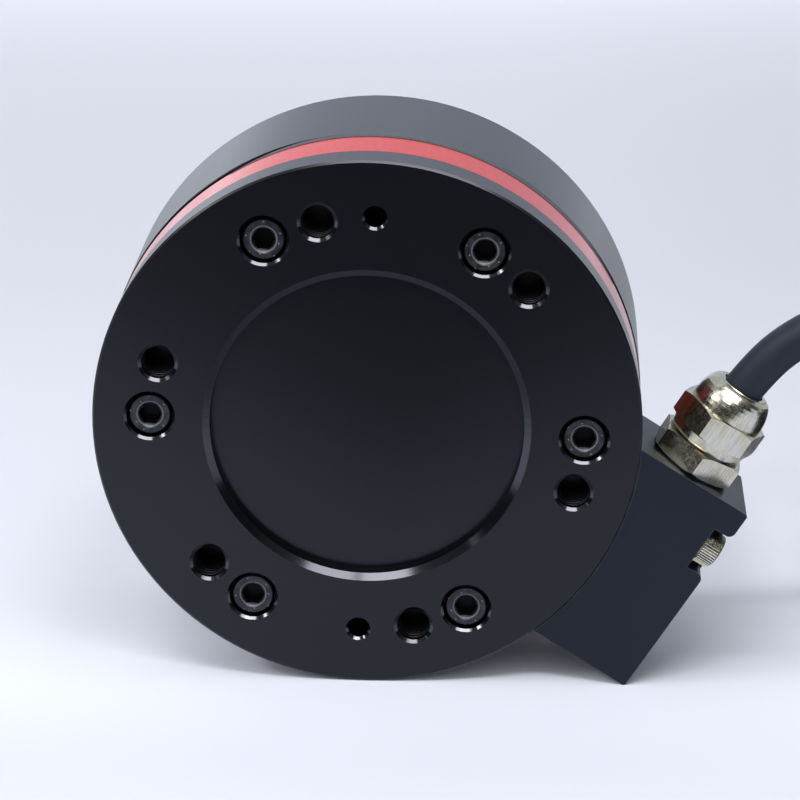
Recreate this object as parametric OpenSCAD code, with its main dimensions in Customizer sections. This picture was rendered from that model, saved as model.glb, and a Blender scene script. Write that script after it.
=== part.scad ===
// Six-axis force torque sensor: a front plate bolted to a four-spoke measuring
// element, a rear housing on the element's hub, and a side box with a cable gland.
// Every piece is drawn in the sensor's own frame, with z rising from the rear face
// to the front face, and is then stood on its rim and on the lower corner of the box.
// Lengths are in millimetres and angles in degrees.

/* [Body] */
// Outer diameter of the round body
body_d = 110; // [106:1:118]
// Height of the body from rear face to front face
body_h = 53.5; // [50:0.5:60]
// Chamfer on the outer edges of both end faces
edge_chamfer = 0.4; // [0.2:0.1:1]
// Open working gap between the front plate and the rear housing
gap_h = 1.6; // [1.2:0.1:2.4]
// Clearance between pieces that slip into each other
slip = 0.2; // [0.1:0.05:0.3]

/* [Front plate] */
// Thickness of the plate's disc
plate_t = 10.4; // [10:0.1:12]
// Height of the skirt behind the disc
skirt_h = 9.2; // [8:0.1:9.6]
// Thickness of the skirt and of the rear housing's wall
wall = 5; // [4.5:0.1:5.6]
// Height of the full-diameter rim in front of the label seat
rim_h = 7.5; // [7:0.1:9]
// Depth of the label seat
seat_depth = 0.4; // [0.3:0.1:0.8]
// Bore of the centring recess, on both faces
recess_d = 63; // [56:1:64]
// Depth of the centring recess
recess_depth = 3.2; // [2:0.1:4]
// Radial width of the recess's lead-in chamfer
lead_w = 1.4; // [0.6:0.1:2]
// Depth of the recess's lead-in chamfer
lead_h = 0.8; // [0.4:0.1:1.4]
// Relief behind the disc, over the element's spokes
relief_h = 1.2; // [0.8:0.1:1.6]

/* [Mounting holes] */
// Distance from the body's side to the circle that all face holes lie on
hole_inset = 11.5; // [11:0.25:12]
// Number of tapped holes, and of plate screws
hole_count = 6; // [4:1:6]
// Angle from a plate screw to the next tapped hole
tapped_offset = -15; // [-20:1:-12]
// Core diameter of the tapped holes
tapped_d = 6.8; // [5:0.1:7.2]
// Depth of the tapped holes
tapped_depth = 9.4; // [8:0.1:9.6]
// Chamfer at the mouth of a tapped hole
tapped_chamfer = 0.45; // [0.3:0.05:0.45]
// Diameter of the two dowel holes
dowel_d = 4; // [3:0.5:5]
// Depth of the dowel holes
dowel_depth = 8; // [6:0.5:9]
// Chamfer at the mouth of a dowel hole
dowel_chamfer = 0.5; // [0.2:0.1:0.8]

/* [Plate screws] */
// Thread diameter of the plate and hub screws
screw_d = 5; // [4:0.5:5]
// Head diameter of the plate and hub screws
screw_head_d = 8.5; // [7.6:0.1:8.6]
// Head height of the plate and hub screws
screw_head_h = 5; // [4:0.1:5.2]
// Socket width across flats
screw_socket = 4.1; // [3:0.1:4.4]
// Length under the head of a plate screw
screw_l = 10; // [8:0.5:11]
// Diameter of the counterbore around a head
bore_d = 9.4; // [9:0.1:10]
// How far a plate screw's head lies under the face
head_sink = 1.1; // [0.4:0.1:1.4]
// Chamfer at the mouth of a counterbore
bore_chamfer = 0.5; // [0.2:0.1:0.6]

/* [Measuring element] */
// Radial width of the element's outer ring
ring_w = 13.2; // [12.8:0.1:14]
// Height of the element's outer ring
ring_h = 7.6; // [7:0.1:7.8]
// Diameter of the element's hub
hub_d = 32; // [30:1:34]
// Width of a spoke
spoke_w = 9; // [7:0.5:11]
// Height of a spoke
spoke_h = 6; // [5:0.1:6.2]
// Number of spokes
spoke_count = 4; // [3:1:4]
// Radius of the fillets at a spoke's roots
root_r = 2; // [1:0.5:3]
// Thickness of the compliant beam between a spoke and its slot
beam_t = 1.7; // [1.2:0.1:2]
// Width of the slot behind a spoke
slot_w = 1.3; // [0.9:0.1:1.6]
// Half of the angle that a slot spans
slot_half = 17; // [12:1:20]
// Circle of the hub screws
hub_pcd = 20; // [19:0.5:20.5]
// Length under the head of a hub screw
hub_screw_l = 14; // [12:1:16]
// Bore through the hub
hub_bore_d = 6; // [4:0.5:8]

/* [Rear housing] */
// Thickness of the housing's floor
floor_t = 12; // [11:0.5:14]
// Height of the element's hub above the rim of the housing
hub_lift = 1; // [0.8:0.1:1.4]
// Height of the posts under the circuit board
post_h = 8; // [6:0.5:9]
// Distance from the housing's wall to the middle of a post
post_inset = 8; // [7:0.5:9]
// Thickness of the circuit board
board_t = 1.6; // [1:0.2:2]
// Inner diameter of the circuit board
board_bore_d = 38; // [36:1:40]

/* [Cable box] */
// Direction in which the box stands out from the body
box_angle = -30; // [-36:1:-24]
// How far the box stands out from the body
box_out = 19; // [17.5:0.5:21]
// Distance from the box's middle plane to its gland side
box_up = 26.2; // [25.5:0.1:30]
// Distance from the box's middle plane to its lower side
box_down = 18.4; // [17:0.1:22]
// Height of the box along the body's axis
box_h = 22.1; // [21.5:0.1:24]
// How far the box's front lies behind the front face
box_set_back = 0.4; // [0.2:0.1:0.8]
// Chamfer on the box's outer edges
box_chamfer = 0.4; // [0.2:0.1:0.8]
// Length of the screw pocket along the box's side
pocket_l = 9.8; // [8.5:0.1:10.5]
// Depth of the screw pocket, and height of the box screws' heads
pocket_depth = 4; // [3.6:0.1:4.4]
// Distance from the box's gland side to the front box screw
front_screw_inset = 10.9; // [10.5:0.1:11.5]
// Distance from the box's lower side to the rear box screw
rear_screw_inset = 6.5; // [6:0.5:7.5]
// Thread diameter of the box screws
box_screw_d = 4; // [3:0.5:4]
// Head diameter of the box screws
box_screw_head_d = 7; // [6:0.1:7.2]

/* [Cable gland] */
// Distance from the box's outer side to the gland's axis
gland_inset = 13.5; // [13:0.1:13.8]
// Thread diameter of the gland
gland_thread_d = 15.2; // [14:0.1:15.4]
// Width across flats of the gland's body and dome nut
gland_af = 17; // [16:0.5:18]
// Height of the gland body's hexagon
gland_hex_h = 4.9; // [4:0.1:6]
// Height of the dome nut's hexagon
nut_hex_h = 5.4; // [4.5:0.1:6.5]
// Height of the dome above the nut's hexagon
dome_h = 6.1; // [5:0.1:7]
// Thickness of the sealing ring under the gland
gland_ring_t = 0.4; // [0.4:0.1:1]
// Turn of the gland body about its axis
gland_turn = -3.5; // [-10:0.5:10]
// Turn of the dome nut about its axis
nut_turn = 7; // [0:1:30]

/* [Cable] */
// Diameter of the cable
cable_d = 8.2; // [7.4:0.1:8.2]
// Diameter of the bundle of leads inside the body
leads_d = 4; // [3:0.2:4.6]

/* [Connector] */
// Diameter of the connector's coupling ring
plug_d = 18.5; // [17.5:0.5:18.5]
// Length of the connector's shell
plug_l = 34; // [30:1:36]
// Length of the coupling ring
coupling_l = 14; // [12:0.5:16]
// Number of contacts on the outer circle
contact_count = 9; // [6:1:10]

/* [Hidden] */
$fn = 96;
eps = 0.01;         // overrun of a cutting tool past the face that it cuts
cut = 1;            // longer overrun, where nothing else is near

// Colours
anodised = [0.11, 0.12, 0.15];
box_black = [0.15, 0.17, 0.21];
label_red = [0.78, 0.25, 0.24];
steel_dark = [0.16, 0.16, 0.17];
steel_bright = [0.72, 0.71, 0.68];
element_steel = [0.66, 0.67, 0.69];
foil_orange = [0.78, 0.48, 0.16];
board_green = [0.07, 0.32, 0.16];
rubber_black = [0.05, 0.05, 0.05];
nickel = [0.74, 0.73, 0.67];
polyamide = [0.80, 0.80, 0.76];
cable_grey = [0.20, 0.21, 0.25];
gold = [0.80, 0.62, 0.25];

// Body
body_r = body_d / 2;
box_reach = body_r + box_out;                   // from the axis to the box's outer side
gland_reach = box_reach - gland_inset;
seat_r = body_r - seat_depth;
bore_r = body_r - wall;                         // inside of skirt and housing
hole_place = body_r - hole_inset;               // the holes' circle measures 87 across
recess_r = recess_d / 2;

// Heights in the sensor's frame
disc_z = body_h - plate_t;                      // rear side of the plate's disc
skirt_z = disc_z - skirt_h;                     // rear edge of the skirt
housing_h = skirt_z - gap_h;                    // front edge of the rear housing
rim_z = body_h - rim_h;                         // front edge of the label seat
element_z = disc_z - ring_h;
hub_z = housing_h + hub_lift;                   // where the hub seats on the boss
hub_top = disc_z - 0.6;
spoke_z = disc_z - 0.8 - spoke_h;
spoke_top = spoke_z + spoke_h;
board_z = floor_t + post_h;
board_top = board_z + board_t;

// Label
label_gap = 0.7;                                // open seat in front of the label
label_t = 0.3;
label_bed = 0.05;                               // adhesive under the label
label_start = box_angle + 30.5;                 // beside the box's gland side
label_span = 193;                               // over the top, short of the underside
label_top = rim_z - label_gap;
label_low = skirt_z + 0.2;

// Screws
thread_slack = 0.05;                            // between a thread and its plain hole
pass_slack = 0.25;                              // around a shank in a through hole
head_edge = 0.25;
bore_depth = head_sink + screw_head_h;
tapped_flare = 0.2;                             // how much wider than deep the chamfer is
board_screw_d = 3;
board_screw_head_d = 5.5;

// Measuring element
ring_out = bore_r - slip;
ring_in = ring_out - ring_w;
hub_r = hub_d / 2;
spoke_turn = box_angle + 45;                    // keeps a spoke away from the leads
spoke_step = 360 / spoke_count;
slot_place = ring_in + beam_t + slot_w / 2;
leads_hole_d = leads_d + 1.2;
leads_z = element_z + ring_h / 2;

// Strain gauges and their circuit
gauge_l = 4;
gauge_w = 2.4;
gauge_t = 0.15;
gauge_place = hub_r + 8;
flex_t = 0.15;
flex_in = hub_r + 1.2;
flex_out = flex_in + 3;
tail_w = 7;
tail_t = 0.3;
tail_turn = spoke_turn + spoke_step / 2;
tail_place = board_bore_d / 2 + 3.5;
socket_h = 3.4;
leads_socket_place = board_bore_d / 2 + 11;

// Circuit board
board_r = bore_r - 1.5;
post_r = 3.6;
post_place = bore_r - post_inset;
post_turns = [30, 150, 270];
board_screw_l = 7;
chip_h = 1.6;
chip_place = board_bore_d / 2 + 9;
chip_turns = [80, 110, 190, 220];
processor_turn = 300;
capacitor_turns = [0, 8, 16];
capacitor_d = 4;
capacitor_h = 5.4;

// Cable box
box_top = body_h - box_set_back;
box_z = box_top - box_h;
box_hug = body_r + thread_slack;
box_free = body_r + 0.6;                        // clear of the moving rear housing
cave_up = box_up - 9.7;
cave_down = 5;
cave_low = leads_z - 2.4;
cave_high = cave_low + 7.4;
cave_reach = box_reach - 4.2;
gasket_rim = 2.4;
pocket_floor = box_reach - pocket_depth;
pocket_h = 7.5;
pocket_corner = 1.3;
pocket_lip = 1.4;                               // rounding of the pocket's outer edges
front_screw_z = body_h - 4;
rear_screw_z = skirt_z + 3.4;
box_screw_socket = box_screw_d * 0.75;
box_screw_up = box_up - front_screw_inset;
box_screw_down = box_down - rear_screw_inset;
front_screw_tip = bore_r - 2.5;
rear_screw_tip = bore_r - 0.5;

// Gland, along the box's upward direction
gland_z = box_z + box_h / 2;
gland_hex_r = gland_af / sqrt(3);
gland_foot = box_up + gland_ring_t;
gland_top = gland_foot + gland_hex_h;
nut_foot = gland_top + 0.4;
nut_collar_h = 2;
nut_hex_up = nut_foot + nut_collar_h;
dome_foot = nut_hex_up + nut_hex_h;
gland_mouth = dome_foot + dome_h;
thread_l = 7.4;
gland_low = box_up - thread_l;
cable_r = cable_d / 2;
cable_pass = cable_r + slip;
neck_r = 6.4;                                   // male thread that carries the dome nut
neck_top = nut_hex_up + 2.6;
claw_out = 5.9;
claw_in = 5;
claw_foot = neck_top - 2;
claw_top = dome_foot + 2.2;
cable_start = gland_low + 0.9;

// Standing pose: rim and lower box corner on one level
corner = [box_reach - box_chamfer, -box_down];
corner_below = atan2(box_down, box_reach - box_chamfer);
rest_roll = corner_below - box_angle - asin(body_r / norm(corner));
box_heading = box_angle + rest_roll;
floor_level = -body_r;

// A point on the gland's axis, in the standing frame
function gland_point(up) =
    [gland_reach * cos(box_heading) - up * sin(box_heading),
     body_h - gland_z,
     gland_reach * sin(box_heading) + up * cos(box_heading)];

// Route of the cable: along the gland's axis, over in an arch, and down beside the
// coil's upper layers onto its lowest one
cable_route = [
    gland_point(cable_start), gland_point(cable_start + 13), gland_point(gland_mouth),
    [82.8, 11.4, 14.2], [90.7, 11.3, 19.2], [99.6, 11, 22], [108.5, 10.5, 22.5],
    [117.5, 9.7, 20.7], [126, 8.6, 16.4], [133.5, 7.5, 9.8], [139.5, 6.6, 1.5],
    [145.5, 5.8, -7], [151.5, 5.1, -15.5], [158, 4.6, -24.5], [165.5, 5, -32.5],
    [175, 7, -38.5], [186, 11.5, -41.4], [195, 17.6, -41.7], [202.9, 25.3, -41.7]];
// Route of the cable's end, over the coil's top to the connector
tail_route = [[130.2, 22, -17.1], [144.1, 15.3, -16.8], [158.5, 13.1, -15.9],
              [178.1, 16.6, -14.4], [190.9, 26.5, -13], [198.4, 40.8, -12.2],
              [199.7, 50.5, -11.9]];
// Route of the leads, as distance from the axis, height along the box and level
leads_route = [
    [gland_reach, cable_start, gland_z], [gland_reach, cable_start - 5.5, gland_z],
    [body_r + 5.1, 9, leads_z + 1], [body_r + 4.4, 4, leads_z + 0.2],
    [body_r + 2.8, 0.8, leads_z], [body_r + 0.6, 0, leads_z],
    [(ring_in + ring_out) / 2, 0, leads_z], [ring_in + 0.4, 0, leads_z - 0.1],
    [ring_in - 3.8, 0, leads_z - 2.2],
    [leads_socket_place, 0, leads_z - 7], [leads_socket_place, 0, board_top + socket_h]];

// Coil of the put-away cable
coil_place = [158.5, 62.5];
coil_lift = 1;                                  // thickness of the ties under it
coil_low = floor_level + coil_lift;
coil_in = 28.8;
coil_layers = 4;
coil_out_low = coil_in + 4 * cable_d;           // four turns side by side on the floor
coil_out_high = coil_in + 3 * cable_d;          // and three in each layer above
coil_h = coil_layers * cable_d;
tie_turns = [60, 150];
tie_w = 4;
tie_t = coil_lift;

// Connector, with its own z along its axis
plug_place = [199.7, 50.5, -11.9];
clamp_l = 11;
clamp_af = 15;
shell_r = 7.6;
insert_r = 6.2;
insert_l = 9;
insert_foot = clamp_l + plug_l - insert_l - 5;
contact_d = 1.2;
contact_sink = 0.3;
plug_wall_in = 6.2;
coupling_in = 8;
knurl_count = 30;

function polar(r, a) = [r * cos(a), r * sin(a)];
function arc(r, from, to, steps) =
    [for (i = [0 : steps]) polar(r, from + (to - from) * i / steps)];
function unit(v) = v / norm(v);

// Stands a piece that is drawn in the sensor's frame on the floor
module standing() {
    rotate([90, 0, 0])
        rotate([0, 0, rest_roll])
            translate([0, 0, -body_h])
                children();
}

// Frame of the cable box: x outwards from the body, y up the box
module boxed() {
    standing()
        rotate([0, 0, box_angle])
            children();
}

// Frame of the gland: z along the gland's axis, starting at the box's middle plane
module on_gland() {
    boxed()
        translate([gland_reach, 0, gland_z])
            rotate([-90, 0, 0])
                children();
}

// Copies around the body's axis
module around(count, place, start = 0) {
    for (i = [0 : count - 1])
        rotate([0, 0, start + i * 360 / count])
            translate([place, 0, 0])
                children();
}

// Ring drawn as a tube
module ring(r_out, r_in, h) {
    difference() {
        cylinder(r = r_out, h = h);
        translate([0, 0, -cut]) cylinder(r = r_in, h = h + 2 * cut);
    }
}

// Drilled hole with a chamfered mouth, going down from its origin
module drilled(d, depth, chamfer, flare = 0) {
    mouth = d + 2 * (chamfer + flare);
    translate([0, 0, -depth]) cylinder(d = d, h = depth + eps);
    translate([0, 0, -chamfer]) cylinder(d1 = d, d2 = mouth, h = chamfer);
    translate([0, 0, -eps]) cylinder(d = mouth, h = cut);
}

// Socket head screw: head above the origin, shank below
module socket_screw(d, head_d, head_h, socket, length) {
    socket_depth = head_h * 0.6;
    tip = 0.4;
    difference() {
        rotate_extrude()
            polygon([[0, -length], [d / 2 - tip, -length], [d / 2, tip - length],
                     [d / 2, 0], [head_d / 2, 0], [head_d / 2, head_h - head_edge],
                     [head_d / 2 - head_edge, head_h], [0, head_h]]);
        translate([0, 0, head_h - socket_depth])
            cylinder(r = socket / sqrt(3), h = head_h, $fn = 6);
        translate([0, 0, head_h - 0.5])
            cylinder(r1 = socket / 2, r2 = socket / 2 + 0.9, h = 0.5 + eps);
    }
}

// Tube with a given number of sides, swept along a list of points
module swept_tube(route, r, sides, guide) {
    last = len(route) - 1;
    rings = [for (i = [0 : last])
        let (along = unit(route[min(i + 1, last)] - route[max(i - 1, 0)]),
             side = unit(cross(along, guide)),
             lift = cross(side, along))
        for (k = [0 : sides - 1])
            route[i] + r * (cos(360 * k / sides) * side + sin(360 * k / sides) * lift)];
    polyhedron(
        points = rings,
        faces = concat(
            [[for (k = [0 : sides - 1]) k]],
            [for (i = [0 : last - 1], k = [0 : sides - 1])
                let (a = i * sides + k, b = i * sides + (k + 1) % sides)
                [b, a, a + sides]],
            [for (i = [0 : last - 1], k = [0 : sides - 1])
                let (a = i * sides + k, b = i * sides + (k + 1) % sides)
                [b, a + sides, b + sides]],
            [[for (k = [sides - 1 : -1 : 0]) last * sides + k]]));
}

// Tapped holes and dowel holes of one end face, going down from its origin
module face_holes() {
    around(hole_count, hole_place, tapped_offset)
        drilled(tapped_d, tapped_depth, tapped_chamfer, tapped_flare);
    around(2, hole_place, 90)
        drilled(dowel_d, dowel_depth, dowel_chamfer);
}

// Centring recess of one end face, going down from its origin
module face_recess() {
    translate([0, 0, -recess_depth]) cylinder(r = recess_r, h = recess_depth + cut);
    translate([0, 0, -lead_h]) cylinder(r1 = recess_r, r2 = recess_r + lead_w, h = lead_h);
    translate([0, 0, -eps]) cylinder(r = recess_r + lead_w, h = cut);
}

module front_plate() {
    color(anodised) standing() difference() {
        rotate_extrude()
            polygon([[0, disc_z + relief_h], [ring_in + slip, disc_z + relief_h],
                     [ring_in + slip, disc_z], [bore_r, disc_z], [bore_r, skirt_z],
                     [seat_r, skirt_z], [seat_r, rim_z], [body_r, rim_z],
                     [body_r, body_h - edge_chamfer], [body_r - edge_chamfer, body_h],
                     [0, body_h]]);
        translate([0, 0, body_h]) face_recess();
        translate([0, 0, body_h]) face_holes();
        translate([0, 0, body_h]) around(hole_count, hole_place)
            drilled(bore_d, bore_depth, bore_chamfer);
        translate([0, 0, disc_z - cut]) around(hole_count, hole_place)
            cylinder(d = screw_d + 2 * pass_slack, h = plate_t);
        // Threads of the two box screws, and the way through for the leads
        rotate([0, 0, box_angle]) {
            translate([front_screw_tip - 0.4, box_screw_up, front_screw_z])
                rotate([0, 90, 0]) cylinder(d = box_screw_d + 2 * thread_slack, h = body_r);
            translate([rear_screw_tip - cut, -box_screw_down, rear_screw_z])
                rotate([0, 90, 0]) cylinder(d = box_screw_d + 2 * thread_slack, h = body_r);
            translate([bore_r - wall, 0, leads_z])
                rotate([0, 90, 0]) cylinder(d = leads_hole_d, h = body_r);
        }
    }
}

module label_band() {
    color(label_red) standing() difference() {
        translate([0, 0, label_low])
            ring(seat_r + label_t, seat_r + label_bed, label_top - label_low);
        // Open at the box and along the underside
        rotate([0, 0, label_start + label_span]) translate([0, 0, label_low - cut])
            linear_extrude(label_top - label_low + 2 * cut)
                polygon([[0, 0], [2 * body_r, 0], polar(2 * body_r, 180 - label_span / 2),
                         polar(2 * body_r, 360 - label_span)]);
    }
}

module plate_screws() {
    color(steel_dark) standing() translate([0, 0, body_h - bore_depth])
        around(hole_count, hole_place)
            socket_screw(screw_d, screw_head_d, screw_head_h, screw_socket, screw_l);
}

// Points of the rounded corner between a spoke's side and the hub or the ring,
// for a spoke along x: the corner is on the side of rising y
function hub_corner(steps = 5) =
    let (half = spoke_w / 2, far = hub_r + root_r,
         x = sqrt(far * far - (half + root_r) * (half + root_r)),
         lean = atan2(half + root_r, x))
    [for (i = [0 : steps]) [x, half + root_r] + polar(root_r, 180 + lean + (90 - lean) * i / steps)];
function ring_corner(steps = 5) =
    let (half = spoke_w / 2, far = ring_in - root_r,
         x = sqrt(far * far - (half + root_r) * (half + root_r)),
         lean = atan2(half + root_r, x))
    [for (i = [0 : steps]) [x, half + root_r] + polar(root_r, -90 + (90 + lean) * i / steps)];
function turned(points, a) =
    [for (p = points) [p[0] * cos(a) - p[1] * sin(a), p[0] * sin(a) + p[1] * cos(a)]];
function flipped(points) = [for (i = [len(points) - 1 : -1 : 0]) [points[i][0], -points[i][1]]];

// Opening between two spokes: its round ends lie inside the hub and the ring
module spoke_window() {
    first = concat(hub_corner(), ring_corner());
    second = turned(flipped(first), spoke_step);
    start = atan2(first[0][1], first[0][0]);
    finish = atan2(first[len(first) - 1][1], first[len(first) - 1][0]);
    polygon(concat(
        first,
        arc(ring_in + 1, finish, spoke_step - finish, 6),
        second,
        arc(hub_r - 1, spoke_step - start, start, 6)));
}

// Curved slot that leaves a thin beam between itself and the ring's bore
module beam_slot() {
    polygon(concat(
        arc(slot_place - slot_w / 2, -slot_half, slot_half, 12),
        [polar(slot_place, slot_half + 0.9)],
        arc(slot_place + slot_w / 2, slot_half, -slot_half, 12),
        [polar(slot_place, -slot_half - 0.9)]));
}

module measuring_element() {
    color(element_steel) standing() difference() {
        union() {
            translate([0, 0, element_z]) ring(ring_out, ring_in, ring_h);
            translate([0, 0, spoke_z]) linear_extrude(spoke_h) difference() {
                circle(r = ring_in + 0.3);
                for (i = [0 : spoke_count - 1])
                    rotate([0, 0, spoke_turn + i * spoke_step]) spoke_window();
            }
            translate([0, 0, hub_z]) cylinder(r = hub_r, h = hub_top - hub_z);
        }
        for (i = [0 : spoke_count - 1])
            rotate([0, 0, spoke_turn + i * spoke_step]) translate([0, 0, element_z - cut])
                linear_extrude(ring_h + 2 * cut) beam_slot();
        translate([0, 0, element_z - cut]) around(hole_count, hole_place)
            cylinder(d = screw_d + 2 * thread_slack, h = ring_h + 2 * cut);
        // Hub screws and bore
        translate([0, 0, hub_z - cut]) cylinder(d = hub_bore_d, h = body_h);
        translate([0, 0, hub_z - cut]) around(4, hub_pcd / 2, spoke_turn)
            cylinder(d = screw_d + 2 * pass_slack, h = body_h);
        translate([0, 0, hub_top - screw_head_h + head_edge]) around(4, hub_pcd / 2, spoke_turn)
            cylinder(d = screw_head_d + 2 * slip, h = body_h);
        // Way through for the leads
        rotate([0, 0, box_angle]) translate([ring_in - cut, 0, leads_z])
            rotate([0, 90, 0]) cylinder(d = leads_hole_d, h = ring_w + 2 * cut);
    }
}

module strain_gauges() {
    color(foil_orange) standing()
        around(spoke_count, gauge_place, spoke_turn) {
            translate([-gauge_l / 2, -gauge_w / 2, spoke_top]) cube([gauge_l, gauge_w, gauge_t]);
            translate([-gauge_l / 2, -gauge_w / 2, spoke_z - gauge_t]) cube([gauge_l, gauge_w, gauge_t]);
            for (side = [-1, 1])
                translate([-gauge_l / 2, side * (spoke_w + gauge_t) / 2 - gauge_t / 2,
                           spoke_z + (spoke_h - gauge_w) / 2])
                    cube([gauge_l, gauge_t, gauge_w]);
        }
}

// Printed foil over the spokes, with a bent tail down to the circuit board
module flex_circuit() {
    color(foil_orange) standing() {
        translate([0, 0, spoke_top]) ring(flex_out, flex_in, flex_t);
        rotate([0, 0, tail_turn]) {
            translate([flex_in + 1, -tail_w / 2, spoke_top])
                cube([tail_place + tail_t - flex_in - 1, tail_w, flex_t]);
            translate([tail_place, -tail_w / 2, board_top + socket_h])
                cube([tail_t, tail_w, spoke_top + flex_t - board_top - socket_h]);
        }
    }
}

module gap_seal() {
    color(rubber_black) standing() translate([0, 0, housing_h])
        ring(body_r - 1, bore_r + 0.5, gap_h);
}

module rear_housing() {
    color(anodised) standing() difference() {
        union() {
            rotate_extrude()
                polygon([[0, 0], [body_r - edge_chamfer, 0], [body_r, edge_chamfer],
                         [body_r, housing_h - 0.2], [body_r - 0.2, housing_h],
                         [bore_r, housing_h], [bore_r, floor_t], [hub_r, floor_t],
                         [hub_r, hub_z], [0, hub_z]]);
            for (a = post_turns)
                rotate([0, 0, a]) translate([post_place, 0, floor_t - cut])
                    cylinder(r = post_r, h = post_h + cut);
        }
        mirror([0, 0, 1]) face_recess();
        mirror([0, 0, 1]) face_holes();
        translate([0, 0, hub_z - hub_screw_l]) around(4, hub_pcd / 2, spoke_turn)
            cylinder(d = screw_d + 2 * thread_slack, h = body_h);
        for (a = post_turns)
            rotate([0, 0, a]) translate([post_place, 0, board_top - board_screw_l - thread_slack])
                cylinder(d = board_screw_d + 2 * thread_slack, h = board_screw_l);
    }
}

module hub_screws() {
    color(steel_dark) standing()
        translate([0, 0, hub_top - screw_head_h + head_edge]) around(4, hub_pcd / 2, spoke_turn)
            socket_screw(screw_d, screw_head_d, screw_head_h, screw_socket, hub_screw_l);
}

module circuit_board() {
    color(board_green) standing() difference() {
        translate([0, 0, board_z]) ring(board_r, board_bore_d / 2, board_t);
        for (a = post_turns)
            rotate([0, 0, a]) translate([post_place, 0, board_z - cut])
                cylinder(d = board_screw_d + 2 * pass_slack, h = board_t + 2 * cut);
    }
}

module board_screws() {
    color(steel_bright) standing()
        for (a = post_turns)
            rotate([0, 0, a]) translate([post_place, 0, board_top])
                socket_screw(board_screw_d, board_screw_head_d, board_screw_d, 2.5, board_screw_l);
}

// Block on the circuit board, at a turn about the axis
module chip(turn, length, width, height) {
    rotate([0, 0, turn]) translate([chip_place, -width / 2, board_top])
        cube([length, width, height]);
}

// Amplifier chips, processor and capacitors
module board_chips() {
    color([0.08, 0.08, 0.09]) standing() {
        for (turn = chip_turns) chip(turn, 3 * chip_h, 4 * chip_h, chip_h);
        chip(processor_turn, 6 * chip_h, 6 * chip_h, chip_h);
        for (turn = capacitor_turns)
            rotate([0, 0, turn]) translate([chip_place + 2 * capacitor_d, 0, board_top])
                cylinder(d = capacitor_d, h = capacitor_h);
    }
}

module flex_socket() {
    color(polyamide) standing() rotate([0, 0, tail_turn])
        translate([tail_place - 1.6, -tail_w / 2 - 1, board_top])
            cube([4, tail_w + 2, socket_h]);
}

module leads_socket() {
    color(polyamide) standing() rotate([0, 0, box_angle])
        translate([leads_socket_place - 3.5, -6, board_top])
            cube([7, 12, socket_h]);
}

// Outline of the box across the body's axis, with its outer corners chamfered
module box_outline() {
    polygon([[0, -box_down], [box_reach - box_chamfer, -box_down],
             [box_reach, box_chamfer - box_down], [box_reach, box_up - box_chamfer],
             [box_reach - box_chamfer, box_up], [0, box_up]]);
}

// Screw pocket, open to the front and to the outer side
module screw_pocket() {
    low = box_screw_up - pocket_l / 2;
    high = box_screw_up + pocket_l / 2;
    deep = box_top - pocket_h;
    translate([pocket_floor, 0, 0]) {
        translate([0, low, deep + pocket_corner])
            cube([pocket_depth + cut, pocket_l, pocket_h]);
        translate([0, low + pocket_corner, deep])
            cube([pocket_depth + cut, pocket_l - 2 * pocket_corner, pocket_h]);
        for (v = [low + pocket_corner, high - pocket_corner])
            translate([0, v, deep + pocket_corner])
                rotate([0, 90, 0]) cylinder(r = pocket_corner, h = pocket_depth + cut);
    }
    // Rounded outer edges of its two side walls
    for (side = [[low, -1], [high, 1]])
        translate([box_reach - pocket_lip, side[0], deep + pocket_corner]) difference() {
            translate([0, min(side[1], 0) * pocket_lip - eps, 0])
                cube([pocket_lip + cut, pocket_lip + 2 * eps, pocket_h]);
            translate([0, side[1] * pocket_lip, -cut])
                cylinder(r = pocket_lip, h = pocket_h + 2 * cut);
        }
}

module cable_box() {
    color(box_black) boxed() difference() {
        translate([0, 0, box_z]) linear_extrude(box_h) box_outline();
        // Hollow face against the body, freed over the rear housing
        translate([0, 0, box_z - cut]) cylinder(r = box_hug, h = box_h + 2 * cut);
        translate([0, 0, box_z - cut]) cylinder(r = box_free, h = skirt_z - box_z + cut);
        // Chamber for the leads
        translate([0, -cave_down, cave_low])
            cube([cave_reach, cave_up + cave_down, cave_high - cave_low]);
        screw_pocket();
        for (p = [[box_screw_up, front_screw_z], [-box_screw_down, rear_screw_z]])
            translate([0, p[0], p[1]]) rotate([0, 90, 0])
                cylinder(d = box_screw_d + 2 * pass_slack, h = box_reach + cut);
        translate([pocket_floor, -box_screw_down, rear_screw_z]) rotate([0, 90, 0])
            cylinder(d = box_screw_head_d + 4 * slip, h = pocket_depth + cut);
        translate([gland_reach, cave_up - cut, gland_z]) rotate([-90, 0, 0])
            cylinder(d = gland_thread_d + 2 * thread_slack, h = box_up);
    }
}

// Frame-shaped gasket between the box's hollow face and the label seat
module box_gasket() {
    color(rubber_black) boxed() difference() {
        intersection() {
            translate([0, 0, cave_low - 1.4]) ring(box_hug, seat_r, cave_high - cave_low + 2.4);
            translate([0, -cave_down - gasket_rim, 0])
                cube([2 * body_r, cave_up + cave_down + 2 * gasket_rim, body_h]);
        }
        translate([0, -cave_down, cave_low])
            cube([2 * body_r, cave_up + cave_down, cave_high - cave_low]);
    }
}

module front_box_screw() {
    color(nickel) boxed() translate([pocket_floor, box_screw_up, front_screw_z])
        rotate([0, 90, 0])
            socket_screw(box_screw_d, box_screw_head_d, pocket_depth, box_screw_socket,
                         pocket_floor - front_screw_tip);
}

module rear_box_screw() {
    color(nickel) boxed() translate([pocket_floor, -box_screw_down, rear_screw_z])
        rotate([0, 90, 0])
            socket_screw(box_screw_d, box_screw_head_d, pocket_depth, box_screw_socket,
                         pocket_floor - rear_screw_tip);
}

module gland_ring() {
    color(rubber_black) on_gland() translate([0, 0, box_up])
        ring(gland_af / 2 - 0.5, gland_thread_d / 2 + thread_slack, gland_ring_t);
}

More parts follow.
